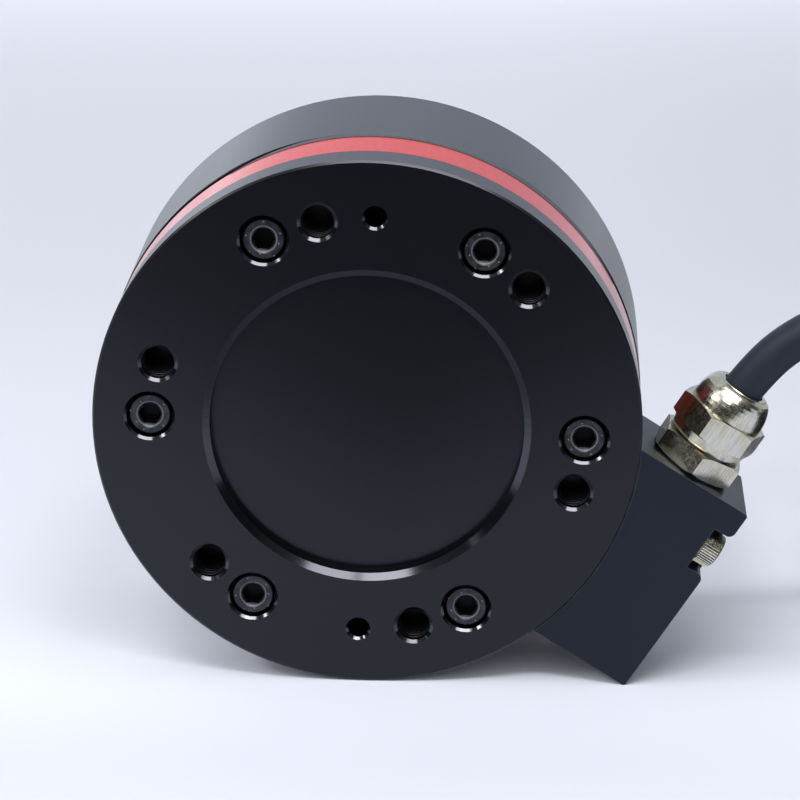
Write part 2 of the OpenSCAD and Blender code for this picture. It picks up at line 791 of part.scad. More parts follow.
// Hexagon with its corners turned off at both ends
module turned_hex(h, turn, bevel = 0.35) {
    r = gland_hex_r;
    intersection() {
        rotate([0, 0, turn]) cylinder(r = r, h = h, $fn = 6);
        rotate_extrude()
            polygon([[0, 0], [r - 1, 0], [r, bevel * 1.6], [r, h - bevel * 1.6], [r - 1, h], [0, h]]);
    }
}

module gland_body() {
    color(nickel) on_gland() difference() {
        union() {
            translate([0, 0, gland_low]) cylinder(d = gland_thread_d, h = thread_l + gland_ring_t + cut);
            translate([0, 0, gland_foot]) turned_hex(gland_hex_h, gland_turn + 180 / 6);
            translate([0, 0, gland_top - cut]) cylinder(r = neck_r, h = neck_top - gland_top + cut);
        }
        translate([0, 0, gland_low - cut]) cylinder(r = cable_pass, h = neck_top);
        translate([0, 0, claw_foot]) cylinder(r = claw_out + slip / 2, h = neck_top);
    }
}

// Clamping claw: a ring of springy fingers around the seal
module gland_claw() {
    finger_count = 8;
    color(polyamide) on_gland() difference() {
        translate([0, 0, claw_foot]) ring(claw_out, claw_in, claw_top - claw_foot);
        for (i = [0 : finger_count / 2 - 1])
            rotate([0, 0, i * 360 / finger_count])
                translate([-body_r, -0.5, claw_foot + 1.6])
                    cube([body_d, 1, claw_top]);
    }
}

module gland_seal() {
    color(rubber_black) on_gland() translate([0, 0, claw_foot])
        ring(claw_in, cable_pass - slip / 2, claw_top - claw_foot);
}

// Dome nut: chamfered collar, hexagon and rounded dome with a turned-in mouth
module dome_nut() {
    dome_r = gland_af / 2 - 0.65;
    mouth_r = cable_pass + 0.15;
    lip = 1;
    rise = dome_h - 0.2;
    dome = [for (i = [0 : 8]) let (a = 90 * i / 8)
            [mouth_r + lip + (dome_r - mouth_r - lip) * cos(a), dome_foot + rise * sin(a)]];
    color(nickel) on_gland() difference() {
        union() {
            rotate_extrude()
                polygon([[0, nut_foot], [gland_af / 2 - 0.5, nut_foot],
                         [gland_af / 2 - 0.1, nut_hex_up], [gland_af / 2 - 0.1, nut_hex_up + 0.6],
                         [0, nut_hex_up + 0.6]]);
            translate([0, 0, nut_hex_up]) turned_hex(nut_hex_h, nut_turn);
            rotate_extrude()
                polygon(concat([[0, dome_foot - cut], [dome_r, dome_foot - cut]], dome,
                               [[0, dome_foot + rise]]));
            translate([0, 0, dome_foot + rise - eps])
                cylinder(r1 = mouth_r + lip, r2 = mouth_r + lip - 0.2, h = 0.2 + eps);
        }
        translate([0, 0, nut_foot - cut]) cylinder(r = mouth_r, h = body_r);
        translate([0, 0, nut_foot - cut]) cylinder(r = neck_r + thread_slack, h = claw_top - nut_foot + cut + 0.1);
    }
}

// Bundle of insulated leads, from the cable's end to the circuit board
module sensor_leads() {
    color([0.75, 0.72, 0.62]) boxed()
        swept_tube(leads_route, leads_d / 2, 8, [1, -1, 1]);
}

module cable() {
    color(cable_grey) swept_tube(cable_route, cable_r, 12, [0, 1, 0]);
}

// Outer shape of the wound cable, one turn narrower above its lowest layer
module cable_coil() {
    color(cable_grey) translate([coil_place[0], coil_place[1], coil_low])
        rotate_extrude()
            polygon([[coil_in, 0], [coil_out_low, 0], [coil_out_low, cable_d],
                     [coil_out_high, cable_d], [coil_out_high, coil_h], [coil_in, coil_h]]);
}

// Two ties around the coil's section, each a closed band with its head on top
module cable_ties() {
    bore = coil_in - 0.1;                       // clear of the curve across a tie's width
    inner = [[bore, 0], [coil_out_low, 0], [coil_out_low, cable_d],
             [coil_out_high, coil_h], [bore, coil_h]];
    outer = [[coil_in - tie_t, -tie_t], [coil_out_low + tie_t, -tie_t],
             [coil_out_low + tie_t, cable_d + tie_t / 4],
             [coil_out_high + tie_t * 0.8, coil_h + tie_t], [coil_in - tie_t, coil_h + tie_t]];
    color([0.10, 0.10, 0.11]) translate([coil_place[0], coil_place[1], coil_low])
        for (a = tie_turns) rotate([0, 0, a]) {
            rotate([90, 0, 0]) translate([0, 0, -tie_w / 2]) linear_extrude(tie_w)
                difference() {
                    polygon(outer);
                    polygon(inner);
                }
            translate([(coil_in + coil_out_high) / 2, -tie_w / 2 - 0.8, coil_h + tie_t - eps])
                cube([5, tie_w + 1.6, 3]);
        }
}

module cable_tail() {
    color(cable_grey) swept_tube(tail_route, cable_r, 12, [0, 0, 1]);
}

// Frame of the connector: z along its axis
module plugged() {
    translate(plug_place) rotate([-90, 0, 0]) children();
}

module plug_clamp() {
    color(nickel) plugged() difference() {
        union() {
            cylinder(r1 = 5.6, r2 = 6.6, h = 2.4);
            translate([0, 0, 2.4 - eps]) cylinder(r = clamp_af / sqrt(3), h = clamp_l - 2.4 - 1.4, $fn = 6);
            translate([0, 0, 2.4]) cylinder(r = shell_r - 0.6, h = clamp_l - 2.4);
        }
        translate([0, 0, -cut]) cylinder(r = cable_pass, h = clamp_l + 2 * cut);
    }
}

module plug_shell() {
    color(nickel) plugged() translate([0, 0, clamp_l]) difference() {
        rotate_extrude()
            polygon([[plug_wall_in, 0], [shell_r, 0], [shell_r, plug_l - coupling_l - 1.2],
                     [shell_r + 0.8, plug_l - coupling_l - 1.2], [shell_r + 0.8, plug_l - coupling_l],
                     [shell_r, plug_l - coupling_l], [shell_r, plug_l], [plug_wall_in, plug_l]]);
        for (z = [4, 7, 10])
            translate([0, 0, z]) ring(shell_r + cut, shell_r - 0.4, 1.2);
    }
}

// Coupling ring with ridges around it
module plug_coupling() {
    ridge = 0.5;
    outline = [for (i = [0 : 2 * knurl_count - 1])
               polar(plug_d / 2 - ((i + 1) % 2) * ridge, i * 180 / knurl_count)];
    color(nickel) plugged() translate([0, 0, clamp_l + plug_l - coupling_l + 0.2])
        difference() {
            linear_extrude(coupling_l) polygon(outline);
            translate([0, 0, -cut]) cylinder(r = coupling_in, h = coupling_l + 2 * cut);
        }
}

module contact_places() {
    around(contact_count, 4.2) children();
    around(3, 1.7, 30) children();
}

module plug_insert() {
    color(rubber_black) plugged() translate([0, 0, insert_foot])
        difference() {
            cylinder(r = insert_r, h = insert_l);
            translate([0, 0, -cut]) contact_places()
                cylinder(d = contact_d, h = insert_l + 2 * cut, $fn = 16);
        }
}

// Sockets of the contacts, just under the insert's face, with tails for the leads
module plug_contacts() {
    color(gold) plugged() translate([0, 0, insert_foot - 2])
        contact_places() difference() {
            cylinder(d = contact_d, h = insert_l + 2 - contact_sink, $fn = 16);
            translate([0, 0, 4]) cylinder(d = contact_d / 2, h = insert_l, $fn = 16);
        }
}

front_plate();
label_band();
plate_screws();
measuring_element();
strain_gauges();
flex_circuit();
gap_seal();
rear_housing();
hub_screws();
circuit_board();
board_screws();
board_chips();
flex_socket();
leads_socket();
cable_box();
box_gasket();
front_box_screw();
rear_box_screw();
gland_ring();
gland_body();
gland_claw();
gland_seal();
dome_nut();
sensor_leads();
cable();
cable_coil();
cable_ties();
cable_tail();
plug_clamp();
plug_shell();
plug_coupling();
plug_insert();
plug_contacts();
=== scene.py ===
# Six-axis force torque sensor: finishes, cable, label, threads and a plain studio stage,
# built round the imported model. Every size is in metres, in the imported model's own frame:
# origin in the middle of the front face, X to the right, Y into the body, Z up.
import math

import bmesh
import bpy
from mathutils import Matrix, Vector


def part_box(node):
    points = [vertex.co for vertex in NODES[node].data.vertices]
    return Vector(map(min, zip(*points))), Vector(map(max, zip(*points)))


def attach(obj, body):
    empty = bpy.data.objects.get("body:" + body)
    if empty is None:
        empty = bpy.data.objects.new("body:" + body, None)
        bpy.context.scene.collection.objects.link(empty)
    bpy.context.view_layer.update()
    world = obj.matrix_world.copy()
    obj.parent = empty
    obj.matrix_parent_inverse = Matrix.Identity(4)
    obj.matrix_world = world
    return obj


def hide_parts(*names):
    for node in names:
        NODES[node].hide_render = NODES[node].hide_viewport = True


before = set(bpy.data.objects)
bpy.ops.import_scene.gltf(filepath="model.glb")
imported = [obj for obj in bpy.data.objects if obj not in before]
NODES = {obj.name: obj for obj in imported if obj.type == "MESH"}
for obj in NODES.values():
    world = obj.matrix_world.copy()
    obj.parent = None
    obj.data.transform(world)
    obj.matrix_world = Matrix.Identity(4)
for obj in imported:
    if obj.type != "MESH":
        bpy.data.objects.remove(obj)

bl_info = {
    "name": "Force torque sensor",
    "version": (1, 0, 0),
    "blender": (4, 5, 0),
    "location": "3D View > Sidebar > Sensor",
    "description": "Dresses a six-axis force torque sensor and sets up its studio stage",
    "category": "Object",
}

MM = 0.001
BODY = "root"


def lowest(node):
    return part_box(node)[0]


def highest(node):
    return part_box(node)[1]


# The round body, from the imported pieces
BODY_R = highest("rear_housing").z
BODY_REAR = highest("rear_housing").y
FLOOR_Z = lowest("front_plate").z
# The mounting circle, and how far its tapped holes and the cable box are turned from its screws
HOLE_R = 43.5 * MM
HOLE_COUNT = 6
TAPPED_STEP = math.radians(15)
BOX_STEP = math.radians(30)
# The cable box's lower corner stands on the floor, and so sets the turn of the whole circle
BOX_REACH = 73.6 * MM
BOX_DOWN = 18.4 * MM
ROLL = (math.atan2(BOX_DOWN, BOX_REACH) + BOX_STEP
        - math.asin(BODY_R / math.hypot(BOX_REACH, BOX_DOWN)))
BOX_HEADING = ROLL - BOX_STEP
TAPPED_TURN = ROLL - TAPPED_STEP


# ---- settings


def colour_setting(name, what, default):
    return bpy.props.FloatVectorProperty(
        name=name, description="Colour of " + what, subtype="COLOR", default=default)


class SensorCamera(bpy.types.PropertyGroup):
    target: bpy.props.FloatVectorProperty(
        name="Target", description="Point that the camera looks at", subtype="XYZ", unit="LENGTH",
        default=(6.72 * MM, 0, 6.02 * MM))
    distance: bpy.props.FloatProperty(
        name="Distance", description="Distance from the target to the camera", unit="LENGTH",
        default=0.6472)
    elevation: bpy.props.FloatProperty(
        name="Elevation", description="Angle at which the camera looks down", subtype="ANGLE",
        default=math.radians(19.136))
    azimuth: bpy.props.FloatProperty(
        name="Azimuth", description="Turn of the camera to the left of straight ahead",
        subtype="ANGLE", default=math.radians(2.757))
    lens: bpy.props.FloatProperty(
        name="Lens", description="Focal length on a 36 mm sensor, in millimetres", default=146.57)


class SensorCable(bpy.types.PropertyGroup):
    diameter: bpy.props.FloatProperty(
        name="Diameter", description="Outer diameter of the cable", unit="LENGTH",
        default=8.2 * MM)
    length: bpy.props.FloatProperty(
        name="Length", description="Length of the free cable", unit="LENGTH", default=3.1)
    jacket: colour_setting("Jacket", "the cable's jacket", (0.0122, 0.0152, 0.0235))


class SensorFinish(bpy.types.PropertyGroup):
    anodised: colour_setting("Anodised body", "the black anodised body", (0.0020, 0.0023, 0.0034))
    box: colour_setting("Cable box", "the anodised cable box", (0.0040, 0.0066, 0.0115))
    label: colour_setting("Label", "the label film", (0.52, 0.031, 0.026))
    screws: colour_setting("Black screws", "the blackened screws", (0.022, 0.023, 0.025))
    nickel: colour_setting("Nickel", "the nickel plating", (0.53, 0.505, 0.395))


class SensorStage(bpy.types.PropertyGroup):
    floor: colour_setting("Floor", "the floor", (0.732, 0.750, 0.824))
    key: bpy.props.FloatProperty(
        name="Key light", description="Power of the lamp above, in watts", default=6.0)
    fill: bpy.props.FloatProperty(
        name="Fill", description="Strength of the room's light", default=1.0)


class SensorSettings(bpy.types.PropertyGroup):
    camera: bpy.props.PointerProperty(type=SensorCamera)
    cable: bpy.props.PointerProperty(type=SensorCable)
    finish: bpy.props.PointerProperty(type=SensorFinish)
    stage: bpy.props.PointerProperty(type=SensorStage)


# ---- node trees


class Wiring:
    """Adds nodes to a tree and joins them."""

    def __init__(self, tree):
        self.tree = tree
        tree.nodes.clear()

    def add(self, kind, values=None, **settings):
        made = self.tree.nodes.new(kind)
        for name, value in settings.items():
            setattr(made, name, value)
        for key, value in (values or {}).items():
            self.feed(made.inputs[key], value)
        return made

    def one(self, kind, values=None, **settings):
        """Adds a node and returns its first output."""
        return self.add(kind, values, **settings).outputs[0]

    def feed(self, socket, value):
        if isinstance(value, bpy.types.NodeSocket):
            self.tree.links.new(value, socket)
        elif value is not None:
            socket.default_value = value

    def math(self, operation, a, b=None, c=None):
        return self.one("ShaderNodeMath", {0: a, 1: b, 2: c}, operation=operation)

    def product(self, first, *others):
        for other in others:
            first = self.math("MULTIPLY", first, other)
        return first

    def slant(self, a, b):
        """Length of the slanted side over two square ones."""
        return self.math("SQRT", self.math("ADD", self.product(a, a), self.product(b, b)))

    def spread(self, value, low, high, to_low=0.0, to_high=1.0):
        """Maps a value from low..high to to_low..to_high, and keeps it there."""
        return self.one("ShaderNodeMapRange", {0: value, 1: low, 2: high, 3: to_low, 4: to_high},
                        interpolation_type="SMOOTHSTEP")

    def mix(self, factor, a, b):
        made = self.add("ShaderNodeMix", data_type="RGBA")
        for index, value in ((0, factor), (6, a), (7, b)):
            self.feed(made.inputs[index], value)
        return made.outputs[2]

    def scale(self, colour, factor):
        return self.one("ShaderNodeVectorMath", {0: colour, "Scale": factor}, operation="SCALE")

    def place(self):
        """The place in the object's own coordinates."""
        return self.add("ShaderNodeTexCoord").outputs["Object"]

    def parts(self, vector):
        return self.add("ShaderNodeSeparateXYZ", {0: vector}).outputs

    def noise(self, place, scale, detail):
        return self.one("ShaderNodeTexNoise", {"Vector": place, "Scale": scale, "Detail": detail})


def rgba(colour, gain=1.0):
    return (colour[0] * gain, colour[1] * gain, colour[2] * gain, 1.0)


def new_group(name, inputs, outputs):
    """An empty shader group with its sockets, and its wiring, inlet and outlet."""
    tree = bpy.data.node_groups.new(name, "ShaderNodeTree")
    for label, kind, default in inputs:
        socket = tree.interface.new_socket(label, in_out="INPUT", socket_type=kind)
        socket.default_value = default
    for label, kind in outputs:
        tree.interface.new_socket(label, in_out="OUTPUT", socket_type=kind)
    wires = Wiring(tree)
    inlet = wires.add("NodeGroupInput")
    outlet = wires.add("NodeGroupOutput")
    return tree, wires, inlet.outputs, outlet.inputs


FLOAT = "NodeSocketFloat"
VECTOR = "NodeSocketVector"
INT = "NodeSocketInt"


def group_turned_marks():
    """Height of fine circular tool marks round the body's axis."""
    tree, w, inp, out = new_group(
        "turned_marks", [("Spacing", FLOAT, 0.0005), ("Unevenness", FLOAT, 0.4)],
        [("Height", FLOAT)])
    place = w.place()
    parts = w.parts(place)
    steps = w.math("DIVIDE", w.slant(parts["X"], parts["Z"]), inp["Spacing"])
    lines = w.one("ShaderNodeTexNoise", {"W": steps, "Scale": 1.0, "Detail": 2.0},
                  noise_dimensions="1D")
    broad = w.noise(place, 90.0, 1.0)
    uneven = w.product(w.math("SUBTRACT", broad, 0.5), inp["Unevenness"])
    w.feed(out["Height"], w.math("ADD", lines, uneven))
    return tree


def group_fine_grain():
    """Fine even grain in three dimensions, with soft broad clouds."""
    tree, w, inp, out = new_group(
        "fine_grain", [("Size", FLOAT, 0.0004), ("Cloud size", FLOAT, 0.012)],
        [("Grain", FLOAT), ("Clouds", FLOAT)])
    place = w.place()
    for name, size, detail in (("Grain", "Size", 3.0), ("Clouds", "Cloud size", 2.0)):
        w.feed(out[name], w.noise(place, w.math("DIVIDE", 1.0, inp[size]), detail))
    return tree


def group_edge_glint():
    """Mask of painted highlights: thin pale lines along outer edges, broken up a little."""
    tree, w, inp, out = new_group(
        "painted_edge_glint", [("Width", FLOAT, 0.00012), ("Patch size", FLOAT, 0.004)], [("Mask", FLOAT)])
    rounded = w.one("ShaderNodeBevel", {"Radius": inp["Width"]}, samples=4)
    facing = w.add("ShaderNodeVectorMath",
                   {0: rounded, 1: w.add("ShaderNodeNewGeometry").outputs["Normal"]},
                   operation="DOT_PRODUCT").outputs["Value"]
    patches = w.noise(w.place(), w.math("DIVIDE", 1.0, inp["Patch size"]), 3.0)
    w.feed(out["Mask"], w.product(w.spread(facing, 0.995, 0.9),
                                  w.spread(patches, 0.3, 0.65, 0.35, 1.0)))
    return tree


def group_brushed_lines():
    """Short straight scratches along one axis of a turned frame."""
    tree, w, inp, out = new_group(
        "brushed_lines",
        [("Turn", VECTOR, (0, 0, 0)), ("Across", FLOAT, 9000.0), ("Along", FLOAT, 250.0)],
        [("Height", FLOAT)])
    turned = w.one("ShaderNodeMapping", {"Vector": w.place(), "Rotation": inp["Turn"]},
                   vector_type="TEXTURE")
    parts = w.parts(turned)
    stretched = w.one("ShaderNodeCombineXYZ", {
        axis: w.product(parts[axis], inp[reach])
        for axis, reach in (("X", "Along"), ("Y", "Across"), ("Z", "Across"))})
    w.feed(out["Height"], w.noise(stretched, 1.0, 2.0))
    return tree


def group_dust_specks():
    """A few pale specks of dust."""
    tree, w, inp, out = new_group(
        "dust_specks", [("Spacing", FLOAT, 0.006), ("Speck", FLOAT, 0.02)], [("Mask", FLOAT)])
    cells = w.add("ShaderNodeTexVoronoi",
                  {"Vector": w.place(), "Scale": w.math("DIVIDE", 1.0, inp["Spacing"])})
    near = w.math("LESS_THAN", cells.outputs["Distance"], inp["Speck"])
    tint = w.one("ShaderNodeSeparateColor", {0: cells.outputs["Color"]})
    w.feed(out["Mask"], w.product(near, w.math("GREATER_THAN", tint, 0.6)))
    return tree


GROUPS = {}


def shared(wires, name, values=None):
    """Places a shared shader group in a material."""
    if not GROUPS:
        for make in (group_turned_marks, group_fine_grain, group_edge_glint, group_brushed_lines,
                     group_dust_specks):
            made = make()
            GROUPS[made.name] = made
    node = wires.add("ShaderNodeGroup", node_tree=GROUPS[name])
    for key, value in (values or {}).items():
        wires.feed(node.inputs[key], value)
    return node.outputs


def grained(wires, size, clouds):
    """Places the fine grain; its two sizes are in millimetres."""
    return shared(wires, "fine_grain", {"Size": size * MM, "Cloud size": clouds * MM})


class Finish:
    """A material with one Principled shader, and the wiring to feed it."""

    def __init__(self, name, **plain):
        self.material = bpy.data.materials.new(name)
        self.material.use_nodes = True
        self.w = Wiring(self.material.node_tree)
        self.shader = self.w.add("ShaderNodeBsdfPrincipled")
        outlet = self.w.add("ShaderNodeOutputMaterial")
        self.w.feed(outlet.inputs["Surface"], self.shader.outputs[0])
        for key, value in plain.items():
            self.set(key.replace("_", " ").title().replace("Ior", "IOR"), value)

    def set(self, key, value):
        if key == "Base Color" and not isinstance(value, bpy.types.NodeSocket):
            value = rgba(value)
        self.w.feed(self.shader.inputs[key], value)

    def bump(self, height, distance, normal=None):
        return self.w.one("ShaderNodeBump", {"Height": height, "Distance": distance,
                                             "Normal": normal})


def assign(piece, material):
    """Puts one material on every slot of a piece."""
    if not piece.data.materials:
        piece.data.materials.append(material)
    for index in range(len(piece.data.materials)):
        piece.data.materials[index] = material


def dress(material, *nodes):
    for name in nodes:
        assign(NODES[name], material)


# ---- finishes


# Radii on the body: inside the outer edges, and where the mounting circle's holes begin and end
INNER_FACES = 52 * MM
HOLES_FROM = (36 * MM, 37 * MM)
HOLES_TO = (50 * MM, 49 * MM)


def anodised_finish(name, colour):
    """Black anodised aluminium: satin, with faint tool marks, smooth chamfers and some dust."""
    satin, smooth = 0.25, 0.12
    made = Finish(name)
    w = made.w
    normal = w.parts(w.add("ShaderNodeNewGeometry").outputs["True Normal"])
    axial = w.math("ABSOLUTE", normal["Y"])
    place = w.parts(w.place())
    radius = w.slant(place["X"], place["Z"])
    chamfer = w.product(w.spread(axial, 0.5, 0.6), w.spread(axial, 0.97, 0.93),
                        w.math("LESS_THAN", radius, INNER_FACES))
    turned = shared(w, "turned_marks", {"Spacing": 0.35 * MM})
    grain = grained(w, 0.25, 20)
    glint = shared(w, "painted_edge_glint", {"Width": 0.1 * MM, "Patch size": 3 * MM})
    dust = shared(w, "dust_specks", {"Spacing": 9 * MM, "Speck": 0.012})
    base = w.mix(w.spread(grain["Clouds"], 0.3, 0.7), rgba(colour, 0.92), rgba(colour, 1.08))
    # painted highlight: pale lines along the outer edges
    base = w.mix(w.product(glint["Mask"], 0.15), base, rgba((0.10, 0.11, 0.13)))
    base = w.mix(dust["Mask"], base, rgba((0.10, 0.10, 0.11)))
    # painted shade: the bores of the mounting circle are painted nearly black and lose their
    # gloss, and chamfers that face down nearly so
    holes = w.product(w.spread(radius, *HOLES_FROM), w.spread(radius, *HOLES_TO))
    bore = w.product(w.spread(axial, 0.5, 0.3), holes)
    painted_chamfer_shade = w.product(chamfer, w.spread(normal["Z"], 0.1, -0.15),
                      w.math("MULTIPLY_ADD", holes, 0.2, 0.78))
    outside_painted_shade = w.math("SUBTRACT", 1.0, w.product(w.math("MAXIMUM", bore, painted_chamfer_shade), 0.85))
    made.set("Roughness", w.math("MULTIPLY_ADD", chamfer, smooth - satin, satin))
    made.set("Specular IOR Level", w.product(w.math("MULTIPLY_ADD", chamfer, 0.3, 0.3),
                                             outside_painted_shade))
    made.set("Base Color", w.mix(outside_painted_shade, rgba(colour, 0.2), base))
    marks = made.bump(turned["Height"], 0.0001 * MM)
    made.set("Normal", made.bump(grain["Grain"], 0.002 * MM, marks))
    return made.material


def nickel_finish(name, colour, turn=(0, 0, 0), roughness=0.16):
    """Nickel-plated brass: bright, slightly yellow, with fine brushing and clouds."""
    made = Finish(name, metallic=1.0)
    w = made.w
    lines = shared(w, "brushed_lines", {"Turn": turn, "Across": 3400.0, "Along": 150.0})
    grain = grained(w, 0.5, 4)
    base = w.mix(w.spread(grain["Clouds"], 0.35, 0.7), rgba(colour),
                 rgba((colour[0] * 0.86, colour[1] * 0.83, colour[2] * 0.72)))
    made.set("Base Color", w.scale(base, w.spread(lines["Height"], 0.3, 0.7, 0.84, 1.06)))
    made.set("Roughness", w.spread(grain["Grain"], 0.3, 0.7, roughness * 0.75, roughness * 1.35))
    brushed = made.bump(lines["Height"], 0.028 * MM)
    made.set("Normal", made.bump(grain["Grain"], 0.006 * MM, brushed))
    return made.material


def plain_finish(name, colour, roughness, metallic=0.0, depth=0.03 * MM):
    """A simple even finish with fine grain, for small and inner pieces."""
    made = Finish(name, metallic=metallic)
    w = made.w
    grain = grained(w, 0.4, 4.8)
    made.set("Base Color", w.mix(w.spread(grain["Clouds"], 0.3, 0.7), rgba(colour, 0.8),
                                 rgba(colour)))
    made.set("Roughness", w.spread(grain["Grain"], 0.3, 0.7, roughness * 0.85,
                                   min(1.0, roughness * 1.15)))
    made.set("Normal", made.bump(grain["Grain"], depth))
    return made.material


# ---- geometry helpers


def mesh_piece(name, mesh, material=None):
    piece = bpy.data.objects.new(name, mesh)
    bpy.context.scene.collection.objects.link(piece)
    if material:
        assign(piece, material)
    return piece


# Kind of socket for each kind of value, and the values of what stands on the mounting circle
KINDS = {float: FLOAT, int: INT, tuple: VECTOR}
ON_CIRCLE = {"Circle": HOLE_R, "Count": HOLE_COUNT}


def geometry_tree(name, values):
    """A Geometry Nodes tree with an outlet, and inputs for named values and a material."""
    tree = bpy.data.node_groups.new(name, "GeometryNodeTree")
    tree.interface.new_socket("Geometry", in_out="OUTPUT", socket_type="NodeSocketGeometry")
    for label, value in values.items():
        tree.interface.new_socket(label, in_out="INPUT", socket_type=KINDS[type(value)])
    tree.interface.new_socket("Material", in_out="INPUT", socket_type="NodeSocketMaterial")
    wires = Wiring(tree)
    return tree, wires, wires.add("NodeGroupInput").outputs, wires.add("NodeGroupOutput").inputs


def grown(name, tree, values, material):
    """Runs a Geometry Nodes tree and keeps its result as a plain mesh piece."""
    holder = mesh_piece(name + "_maker", bpy.data.meshes.new(name + "_maker"))
    modifier = holder.modifiers.new("grow", "NODES")
    modifier.node_group = tree
    values = {**values, "Material": material}
    for item in tree.interface.items_tree:
        if item.item_type == "SOCKET" and item.in_out == "INPUT":
            modifier[item.identifier] = values[item.name]
    bpy.context.view_layer.update()
    seen = holder.evaluated_get(bpy.context.evaluated_depsgraph_get())
    mesh = bpy.data.meshes.new_from_object(seen)
    holder.modifiers.clear()
    bpy.data.objects.remove(holder)
    if not mesh.polygons:
        raise RuntimeError(f"{name}: the tree made no faces")
    mesh.name = name
    piece = mesh_piece(name, mesh, material)
    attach(piece, BODY)


def close_tree(w, inp, out, pieces, rotation, translation):
    """Ends a tree: makes its repeated pieces real, places them and gives them the material."""
    solid = w.one("GeometryNodeRealizeInstances", {"Geometry": pieces})
    placed = w.one("GeometryNodeTransform", {
        "Geometry": solid, "Rotation": rotation, "Translation": translation})
    w.feed(out["Geometry"], w.one("GeometryNodeSetMaterial", {
        "Geometry": placed, "Material": inp["Material"]}))


def set_out_on_circle(w, inp, out, piece, spin=None):
    """Repeats a piece round the mounting circle, turned to face along the body's axis."""
    circle = w.one("GeometryNodeMeshCircle", {"Vertices": inp["Count"], "Radius": inp["Circle"]})
    turned = w.one("GeometryNodeTransform", {
        "Geometry": circle, "Rotation": w.one("ShaderNodeCombineXYZ", {"Z": inp["Turn"]})})
    pieces = w.one("GeometryNodeInstanceOnPoints", {"Points": turned, "Instance": piece,
                                                    "Rotation": spin})
    tilt = w.product(inp["Tilt"], math.pi / 2)
    close_tree(w, inp, out, pieces, w.one("ShaderNodeCombineXYZ", {"X": tilt}),
               w.one("ShaderNodeCombineXYZ", {"Y": inp["Depth"]}))


def smooth_path(points, step):
    """Points along a smooth curve through the given ones, about step apart."""
    count = len(points)
    slopes = []
    for i, here in enumerate(points):
        before, after = points[max(i - 1, 0)], points[min(i + 1, count - 1)]
        if i in (0, count - 1):
            slopes.append((after - before).normalized())
            continue
        first, second = (here - before).length, (after - here).length
        slopes.append(((here - before) / first * second + (after - here) / second * first)
                      / (first + second))
    path = []
    for i in range(count - 1):
        a, b = points[i], points[i + 1]
        span = (b - a).length
        cuts = max(1, round(span / step))
        for k in range(cuts):
            t = k / cuts
            h = (2 * t**3 - 3 * t**2 + 1, t**3 - 2 * t**2 + t, 3 * t**2 - 2 * t**3, t**3 - t**2)
            path.append(h[0] * a + h[1] * span * slopes[i]
                        + h[2] * b + h[3] * span * slopes[i + 1])
    return path + [points[-1]]


# ---- camera and cable


class SENSOR_OT_camera(bpy.types.Operator):
    """Places the camera"""

    bl_idname = "sensor.camera"
    bl_label = "Camera"

    def execute(self, context):
        sizes = context.scene.sensor.camera
        target = Vector(sizes.target)
        ahead = Vector((-math.cos(sizes.elevation) * math.sin(sizes.azimuth),
                        math.cos(sizes.elevation) * math.cos(sizes.azimuth),
                        -math.sin(sizes.elevation)))
        lens = bpy.data.cameras.new("camera")
        lens.lens = sizes.lens
        lens.sensor_width = 36.0
        lens.clip_start = 0.01
        lens.clip_end = 100.0
        camera = bpy.data.objects.new("camera", lens)
        context.scene.collection.objects.link(camera)
        camera.location = target - ahead * sizes.distance
        camera.rotation_euler = ahead.to_track_quat("-Z", "Y").to_euler()
        context.scene.camera = camera
        return {"FINISHED"}


# Points of the cable's route, in millimetres
GLAND_REACH = 60.5
GLAND_LEVEL = 11.45
GLAND_MOUTH = 45.4
CABLE_START = 19.7
CABLE_STEP = 13


def gland_point(up):
    """A point on the gland's axis, in millimetres."""
    out, over = math.cos(BOX_HEADING), math.sin(BOX_HEADING)
    return (GLAND_REACH * out - up * over, GLAND_LEVEL, GLAND_REACH * over + up * out)


CABLE_ROUTE = [
    gland_point(CABLE_START), gland_point(CABLE_START + CABLE_STEP), gland_point(GLAND_MOUTH),
    (82.8, 11.4, 14.2), (90.7, 11.3, 19.2), (99.6, 11, 22), (108.5, 10.5, 22.5),
    (117.5, 9.7, 20.7), (126, 8.6, 16.4), (133.5, 7.5, 9.8), (139.5, 6.6, 1.5),
    (145.5, 5.8, -7), (151.5, 5.1, -15.5), (158, 4.6, -24.5), (165.5, 5, -32.5),
    (175, 7, -38.5), (186, 11.5, -41.4), (195, 17.6, -41.7), (202.9, 25.3, -41.7),
]
TAIL_ROUTE = [
    (130.2, 22, -17.1), (144.1, 15.3, -16.8), (158.5, 13.1, -15.9), (178.1, 16.6, -14.4),
    (190.9, 26.5, -13), (198.4, 40.8, -12.2), (199.7, 50.5, -11.9),
]
COIL_PLACE = (158.5, 62.5)
LAYERS = (-49.9, -41.7, -33.5, -25.3, -17.1)
# Stretches of the winding: turn in degrees, distance from its axis and height at each end,
# and how far a stretch that climbs moves aside half way
WINDING = [
    (-40, 57.9, LAYERS[1]), (0, 57.5, LAYERS[0]), (1080, 32.9, LAYERS[0]),
    (1260, 32.9, LAYERS[1], -0.9), (1980, 49.3, LAYERS[1]), (2160, 49.3, LAYERS[2], 0.9),
    (2880, 32.9, LAYERS[2]), (3060, 32.9, LAYERS[3], -0.9), (3770, 49.4, LAYERS[3]),
    (3835, 49.4, LAYERS[4]),
]
TURN_STEP = 15


